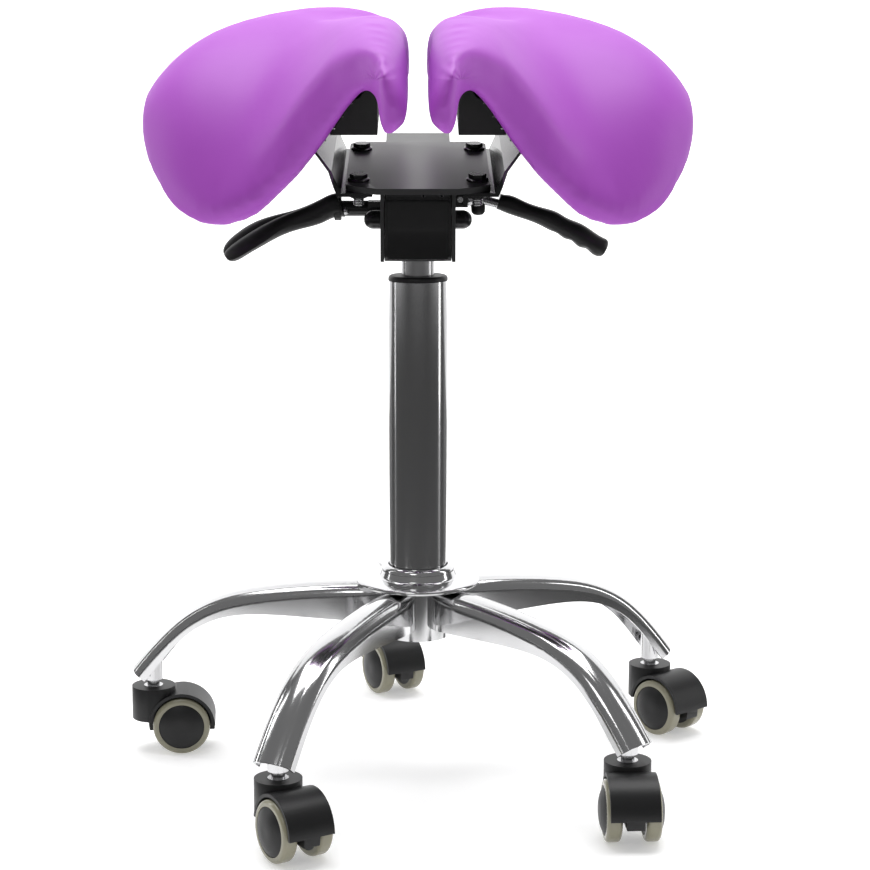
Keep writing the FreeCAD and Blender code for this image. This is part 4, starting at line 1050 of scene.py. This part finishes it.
@dataclass
class Mechanism:
    """Pressed steel parts under the seat, with softened edges, washers, threads and screws."""

    edge: float = 0.0006
    pivot_height: float = 0.4785
    tilt: float = math.radians(9.5)
    plate_top: float = 0.046
    bolt_spacing: float = 0.0974
    bolt_row_spacing: float = 0.114
    bolt_row_centre: float = 0.008
    washer_radius: float = 0.0092
    washer_hole: float = 0.0042
    plate_thickness: float = 0.005
    bracket_thickness: float = 0.003
    shank_below: float = 0.013
    shank_bevel: float = 0.0008
    nut_height: float = 0.0068
    thread_pitch: float = 0.00125
    thread_size: tuple[float, float, float] = (0.0040, 0.00035, 0.0)
    front_sheet: tuple[Place, Place] = ((-0.0252, -0.0389, 0.4488), (0.0252, -0.0379, 0.4972))
    front_sheet_edge: float = 0.0004
    top_strip: tuple[Place, Place] = ((-0.0268, -0.0398, 0.4982), (0.0268, -0.0379, 0.5052))
    top_strip_edge: float = 0.0006
    screw_places: tuple[float, ...] = (0.0045, 0.0195)
    screw_face: float = -0.0401
    screw_height: float = 0.5016
    screw_size: tuple[float, float, float] = (0.0014, 0.0, 0.0010)

    def _seat_frame(self, x: float, y: float, z: float) -> Vector:
        """Turn a place given level and over the pivot with the seat's tilt.

        Args:
            x: Distance to the right.
            y: Distance to the back.
            z: Height over the pivot.

        Returns:
            The place in the stool's frame.
        """
        turned = Matrix.Rotation(self.tilt, 3, "X") @ Vector((x, y, z))
        return turned + Vector((0.0, 0.0, self.pivot_height))

    def _bolt_details(self, side: str, sign: float) -> None:
        """Flange washers on the plate and thread turns below the nuts of one side.

        Args:
            side: Name of the seat half.
            sign: Its side of the middle plane.
        """
        up = self._seat_frame(0.0, 0.0, 1.0) - self._seat_frame(0.0, 0.0, 0.0)
        paths = []
        for row in (-1, 1):
            x = sign * self.bolt_spacing / 2
            y = self.bolt_row_centre + row * self.bolt_row_spacing / 2
            base = self._seat_frame(x, y, self.plate_top)
            washer, hole = self.washer_radius, self.washer_hole
            profile = [(hole, 0.00012), (washer, 0.00012), (washer, 0.0010), (washer - 0.0006, 0.0016),
                       (0.0066, 0.0024), (hole, 0.0024)]
            place = "front" if row < 0 else "back"
            ring = lathed("flange_washer_" + side + "_" + place, profile, base, up, 36)
            place_on(ring, "seat_" + side, ENAMEL)
            under = self.plate_top - self.plate_thickness - self.bracket_thickness
            bottom = self._seat_frame(x, y, under - self.shank_below + self.shank_bevel)
            top = self._seat_frame(x, y, under - self.nut_height)
            paths.append([(bottom, up), (top, up)])
        row_along("bolt_threads_" + side, Repeat.THREAD, paths, self.thread_pitch, self.thread_size,
                  "seat_" + side, STEEL)

    def _front_cover(self) -> None:
        """Cover sheet on the housing's front, with the strip and two screws above it."""
        for name, corners, edge in (("housing_front_sheet", self.front_sheet, self.front_sheet_edge),
                                    ("housing_top_strip", self.top_strip, self.top_strip_edge)):
            low, high = (Vector(corner) for corner in corners)
            place_on(plate(name, low, high, edge), "lift", ENAMEL)
        ahead = Vector((0.0, -1.0, 0.0))
        paths = []
        for x in self.screw_places:
            start = Vector((x, self.screw_face, self.screw_height))
            paths.append([(start, ahead), (Vector((x + 0.0002, start.y, start.z)), ahead)])
        row_along("strip_screws", Repeat.SCREW, paths, 0.01, self.screw_size, "lift", STEEL)

    def build(self) -> None:
        """Soften the housing, plate, brackets and bolts, and add their small parts."""
        softened_node("mechanism_housing", "housing_shell", "lift", ENAMEL, self.edge)
        softened_node("top_plate", "seat_plate", "tilt_frame", PLATE, self.edge)
        for side, sign in SIDES.items():
            softened_node("seat_bracket_" + side, "wing_bracket_" + side, "seat_" + side, ENAMEL, self.edge)
            softened_node("bracket_bolts_" + side, "plate_bolts_" + side, "seat_" + side, ENAMEL, self.edge)
            self._bolt_details(side, sign)
        self._front_cover()


@dataclass
class Levers:
    """Small parts of the two levers, and the finger notches of the tilt lever's grip."""

    lever_line: float = 0.024
    height_axis: float = 0.486
    tilt_axis: float = 0.494
    rivet_place: Place = (-0.062, 0.0174, 0.4845)
    collar_start: float = -0.0655
    sleeve_start: float = 0.0402
    knob_place: float = 0.0515
    knob_top: float = 0.4915
    thread_run: tuple[tuple[float, float], tuple[float, float]] = ((0.0545, 0.4936), (0.0670, 0.4902))
    thread_pitch: float = 0.0012
    thread_size: tuple[float, float, float] = (0.0040, 0.00035, 0.0)
    grip_start: float = 0.069
    grip_height: float = 0.4920
    grip_fall: float = 0.46
    grip_skin: float = 0.003
    notch_fade: float = 0.004
    notches: tuple[float, ...] = (0.118, 0.131, 0.144)
    notch_depth: float = 0.0022
    notch_reach: float = 0.0042

    def _rivet(self) -> None:
        """Bright rivet through the height lever's tube, with its washer."""
        profile = [(0.0, -0.0012), (0.0034, -0.0012), (0.0034, 0.0002), (0.0026, 0.0012), (0.0014, 0.0019),
                   (0.0, 0.0021)]
        rivet = lathed("tube_rivet", profile, Vector(self.rivet_place), Vector((0, -1, 0)), 28)
        place_on(rivet, "height_lever", STEEL)

    def _tube_collar(self) -> None:
        """Moulded collar where the paddle's socket grips the tube."""
        profile = [(0.0068, 0.0), (0.0098, 0.0), (0.0104, 0.0008), (0.0104, 0.0052), (0.0096, 0.006),
                   (0.0068, 0.006)]
        centre = Vector((self.collar_start, self.lever_line, self.height_axis))
        place_on(lathed("socket_collar", profile, centre, Vector((-1, 0, 0)), 40), "height_lever", NYLON)

    def _tilt_fittings(self) -> None:
        """Bright sleeve, thread turns and black stop knob on the tilt lever's rod."""
        sleeve = [(0.0040, 0.0), (0.0062, 0.0), (0.0066, 0.0006), (0.0066, 0.0064), (0.0062, 0.007),
                  (0.0040, 0.007)]
        centre = Vector((self.sleeve_start, self.lever_line, self.tilt_axis))
        place_on(lathed("rod_sleeve", sleeve, centre, Vector((1, 0, 0)), 36), "tilt_lever", STEEL)
        knob = [(0.0, 0.0), (0.0052, 0.0), (0.0058, 0.0012), (0.0062, 0.005), (0.0058, 0.0086),
                (0.004, 0.0108), (0.0, 0.0116)]
        centre = Vector((self.knob_place, self.lever_line, self.knob_top))
        place_on(lathed("stop_knob", knob, centre, Vector((0, 0, -1)), 32), "tilt_lever", NYLON)
        path = [(Vector((x, self.lever_line, z)), Vector((0, 0, 1))) for x, z in self.thread_run]
        row_along("rod_thread", Repeat.THREAD, [path], self.thread_pitch, self.thread_size, "tilt_lever",
                  STEEL)

    def _notched_grip(self) -> None:
        """Grip of the tilt lever with its finger notches pressed up from below."""
        form = merged_form("tilt_lever_grip", flatten=False)
        for vertex in form.verts:
            x, z = vertex.co.x, vertex.co.z
            middle = self.grip_height - self.grip_fall * (x - self.grip_start)
            if z < middle - self.grip_skin:
                press = sum(math.exp(-((x - notch) / self.notch_reach) ** 2) for notch in self.notches)
                share = min(1.0, (middle - self.grip_skin - z) / self.notch_fade)
                vertex.co.z += self.notch_depth * press * share
        place_on(from_bmesh("notched_grip", form, 40.0), "tilt_lever", NYLON, ("tilt_lever_grip",))

    def build(self) -> None:
        """Make every small part."""
        self._rivet()
        self._tube_collar()
        self._tilt_fittings()
        self._notched_grip()


@dataclass
class Base:
    """Weld runs where the five legs meet the hub barrel."""

    first_angle: float = math.radians(26.7)
    legs: int = 5
    barrel: float = 0.0265
    half_width: float = 0.0093
    low: float = 0.1400
    high: float = 0.1580
    bead: float = 0.0018
    bead_spacing: float = 0.0014

    def build(self) -> None:
        """Lay a run of beads down both sides of each leg's root."""
        paths = []
        for index in range(self.legs):
            angle = self.first_angle + index * math.tau / self.legs
            turn = Matrix.Rotation(angle, 3, "Z")
            for hand in (-1.0, 1.0):
                out = math.sqrt(self.barrel ** 2 - self.half_width ** 2)
                facing = turn @ Vector((1.0, hand, 0.0)).normalized()
                paths.append([(turn @ Vector((out, hand * self.half_width, height)), facing)
                              for height in (self.low, (self.low + self.high) / 2, self.high)])
        size = (self.bead, self.bead, self.bead * 0.8)
        row_along("hub_weld_beads", Repeat.BEAD, paths, self.bead_spacing, size, "base", CHROME)


@dataclass
class Casters:
    """Hoods of the five casters with softened edges, and the rings on their wheel caps."""

    edge: float = 0.0009
    cap_ring_radius: float = 0.0118
    cap_face: float = 0.0244

    def build(self) -> None:
        """Soften every hood and set a raised ring on every wheel cap."""
        joints = {row["name"]: row for row in frame["record"]["behaviour"]["joints"]}
        for number in CASTER_NUMBERS:
            softened_node("caster_hood_" + number, "hood_" + number, "caster_" + number, NYLON, self.edge)
            for letter, side in zip(WHEEL_LETTERS, (-1.0, 1.0)):
                joint = joints["wheel_spin_" + number + letter]
                axis = Vector(joint["axis"]) * side
                ring = self.cap_ring_radius
                profile = [(ring - 0.0009, -0.0012), (ring + 0.0009, -0.0014), (ring + 0.0009, 0.0002),
                           (ring, 0.0008), (ring - 0.0009, 0.0004)]
                centre = Vector(joint["pos_m"]) + axis * self.cap_face
                made = lathed("cap_ring_" + number + letter, profile, centre, axis, 40)
                place_on(made, "wheel_" + number + letter, NYLON)


@dataclass(frozen=True)
class Board:
    """Rectangle of the studio that faces the stool, a light where it has power or else a card."""

    name: str
    place: Place
    target: Place
    width: float
    height: float
    power: float = 0.0


@dataclass
class Studio:
    """Pale sweep, soft lights and the camera of the photograph."""

    camera_place: Place = (0.0, -1.9271, 0.6503)
    camera_fall: float = 0.17789
    focal_length: float = 94.19
    shift: tuple[float, float] = (0.01954, -0.01425)
    world_strength: float = 0.2
    floor_glow: float = 0.36
    wall_glow: float = 1.0
    card_glow: float = 0.02
    card_paint: tuple[float, float, float, float] = (0.03, 0.03, 0.03, 1.0)
    sweep_paint: tuple[float, float, float, float] = (0.85, 0.85, 0.85, 1.0)
    floor_front: float = -6.0
    wall_start: float = 3.0
    wall_curve: float = 1.5
    wall_top: float = 5.0
    sweep_half_width: float = 6.0
    panels: tuple[Board, ...] = (
        Board("top_light", (0.0, 0.35, 2.3), (0.0, 0.0, 0.3), 2.2, 1.6, 60.0),
        Board("left_strip", (-1.6, 0.45, 0.75), (0.0, 0.0, 0.35), 0.3, 1.7, 8.0),
        Board("right_strip", (1.7, 0.2, 0.75), (0.0, 0.0, 0.35), 0.35, 1.7, 8.0),
        Board("front_light", (-0.7, -2.3, 2.1), (0.0, 0.0, 0.4), 0.8, 0.8, 6.0))
    cards: tuple[Board, ...] = (
        Board("left_card", (-1.0, 0.42, 0.5), (0.0, 0.0, 0.4), 0.42, 1.5),
        Board("right_card", (1.05, 0.3, 0.5), (0.0, 0.0, 0.4), 0.36, 1.5),
        Board("front_floor_card", (0.0, -2.4, 0.004), (0.0, -2.4, 1.0), 7.0, 3.9),
        Board("left_floor_card", (-2.0, 0.6, 0.004), (-2.0, 0.6, 1.0), 3.1, 2.1),
        Board("right_floor_card", (2.0, 0.6, 0.004), (2.0, 0.6, 1.0), 3.1, 2.1))

    def _sweep(self) -> None:
        """Floor that curves up into a pale backdrop."""
        start, curve = self.wall_start, self.wall_curve
        profile = [Vector((0, self.floor_front, 0)), Vector((0, start, 0))]
        for step in range(1, 13):
            angle = math.radians(90.0 * step / 12)
            profile.append(Vector((0, start + curve * math.sin(angle), curve - curve * math.cos(angle))))
        profile.append(Vector((0, start + curve, self.wall_top)))
        form = bmesh.new()
        rows = [[form.verts.new(point + Vector((x, 0, 0))) for point in profile]
                for x in (-self.sweep_half_width, self.sweep_half_width)]
        for index in range(len(profile) - 1):
            form.faces.new((rows[0][index], rows[1][index], rows[1][index + 1], rows[0][index + 1]))
        mesh = bpy.data.meshes.new("studio_sweep")
        form.to_mesh(mesh)
        form.free()
        mesh.shade_smooth()
        floor = new_piece("studio_sweep", mesh)
        for name, glow in (("pale_floor", self.floor_glow), ("pale_wall", self.wall_glow)):
            paint = bpy.data.materials.new(name)
            paint.use_nodes = True
            shader = paint.node_tree.nodes["Principled BSDF"]
            shader.inputs["Base Color"].default_value = self.sweep_paint
            shader.inputs["Roughness"].default_value = 0.85
            shader.inputs["Specular IOR Level"].default_value = 0.1
            shader.inputs["Emission Color"].default_value = (1.0, 1.0, 1.0, 1.0)
            shader.inputs["Emission Strength"].default_value = glow
            mesh.materials.append(paint)
        for polygon in mesh.polygons:
            polygon.material_index = 1 if polygon.center.y > self.wall_start else 0

    def _card(self, board: Board) -> None:
        """Dark card that the chrome reflects and the camera doesn't see.

        Args:
            board: Size, place and facing of the card.
        """
        form = bmesh.new()
        bmesh.ops.create_grid(form, x_segments=1, y_segments=1, size=0.5)
        turn = (Vector(board.target) - Vector(board.place)).to_track_quat("Z", "Y").to_matrix().to_4x4()
        size = Matrix.Diagonal((board.width, board.height, 1.0, 1.0))
        bmesh.ops.transform(form, matrix=Matrix.Translation(board.place) @ turn @ size, verts=form.verts)
        mesh = bpy.data.meshes.new(board.name)
        form.to_mesh(mesh)
        form.free()
        card = new_piece(board.name, mesh)
        card.visible_camera = False
        card.visible_shadow = False
        card.visible_diffuse = False
        paint = bpy.data.materials.get("dark_card") or bpy.data.materials.new("dark_card")
        paint.use_nodes = True
        shader = paint.node_tree.nodes["Principled BSDF"]
        shader.inputs["Base Color"].default_value = self.card_paint
        shader.inputs["Emission Color"].default_value = (1.0, 1.0, 1.0, 1.0)
        shader.inputs["Emission Strength"].default_value = self.card_glow
        mesh.materials.append(paint)

    def _light(self, board: Board) -> None:
        """Soft panel light.

        Args:
            board: Size, place, facing and power of the panel.
        """
        lamp = bpy.data.lights.new(board.name, "AREA")
        lamp.shape = "RECTANGLE"
        lamp.size = board.width
        lamp.size_y = board.height
        lamp.energy = board.power
        holder = bpy.data.objects.new(board.name, lamp)
        holder.location = board.place
        facing = Vector(board.target) - Vector(board.place)
        holder.rotation_euler = facing.to_track_quat("-Z", "Y").to_euler()
        bpy.context.scene.collection.objects.link(holder)

    def build(self) -> None:
        """Set up sweep, cards, lights, world and camera."""
        self._sweep()
        for board in self.cards:
            self._card(board)
        for board in self.panels:
            self._light(board)
        world = bpy.data.worlds.new("studio")
        world.use_nodes = True
        sky = world.node_tree.nodes["Background"]
        sky.inputs["Color"].default_value = (1.0, 1.0, 1.0, 1.0)
        sky.inputs["Strength"].default_value = self.world_strength
        bpy.context.scene.world = world
        lens = bpy.data.cameras.new("photo_camera")
        lens.lens = self.focal_length
        lens.sensor_width = 36.0
        lens.shift_x, lens.shift_y = self.shift
        lens.clip_end = 50.0
        holder = bpy.data.objects.new("photo_camera", lens)
        holder.location = self.camera_place
        holder.rotation_euler = (math.pi / 2 - self.camera_fall, 0.0, 0.0)
        bpy.context.scene.collection.objects.link(holder)
        bpy.context.scene.camera = holder
        bpy.context.scene.view_settings.view_transform = "Standard"


def dress_frame() -> None:
    """Give every node of the frame the finish of its material slot."""
    slot_of = {row["node"]: row["material_slot"] for row in frame["record"]["subparts"]}
    for name, node in frame["nodes"].items():
        dress(node, FINISH_OF_SLOT[slot_of[name]])


def main() -> None:
    """Build the stool's visible pieces in order."""
    logging.basicConfig(level=logging.INFO, format="%(message)s")
    Studio().build()
    dress_frame()
    Cushions().build()
    Mechanism().build()
    Levers().build()
    Base().build()
    Casters().build()


if __name__ == "__main__":
    main()
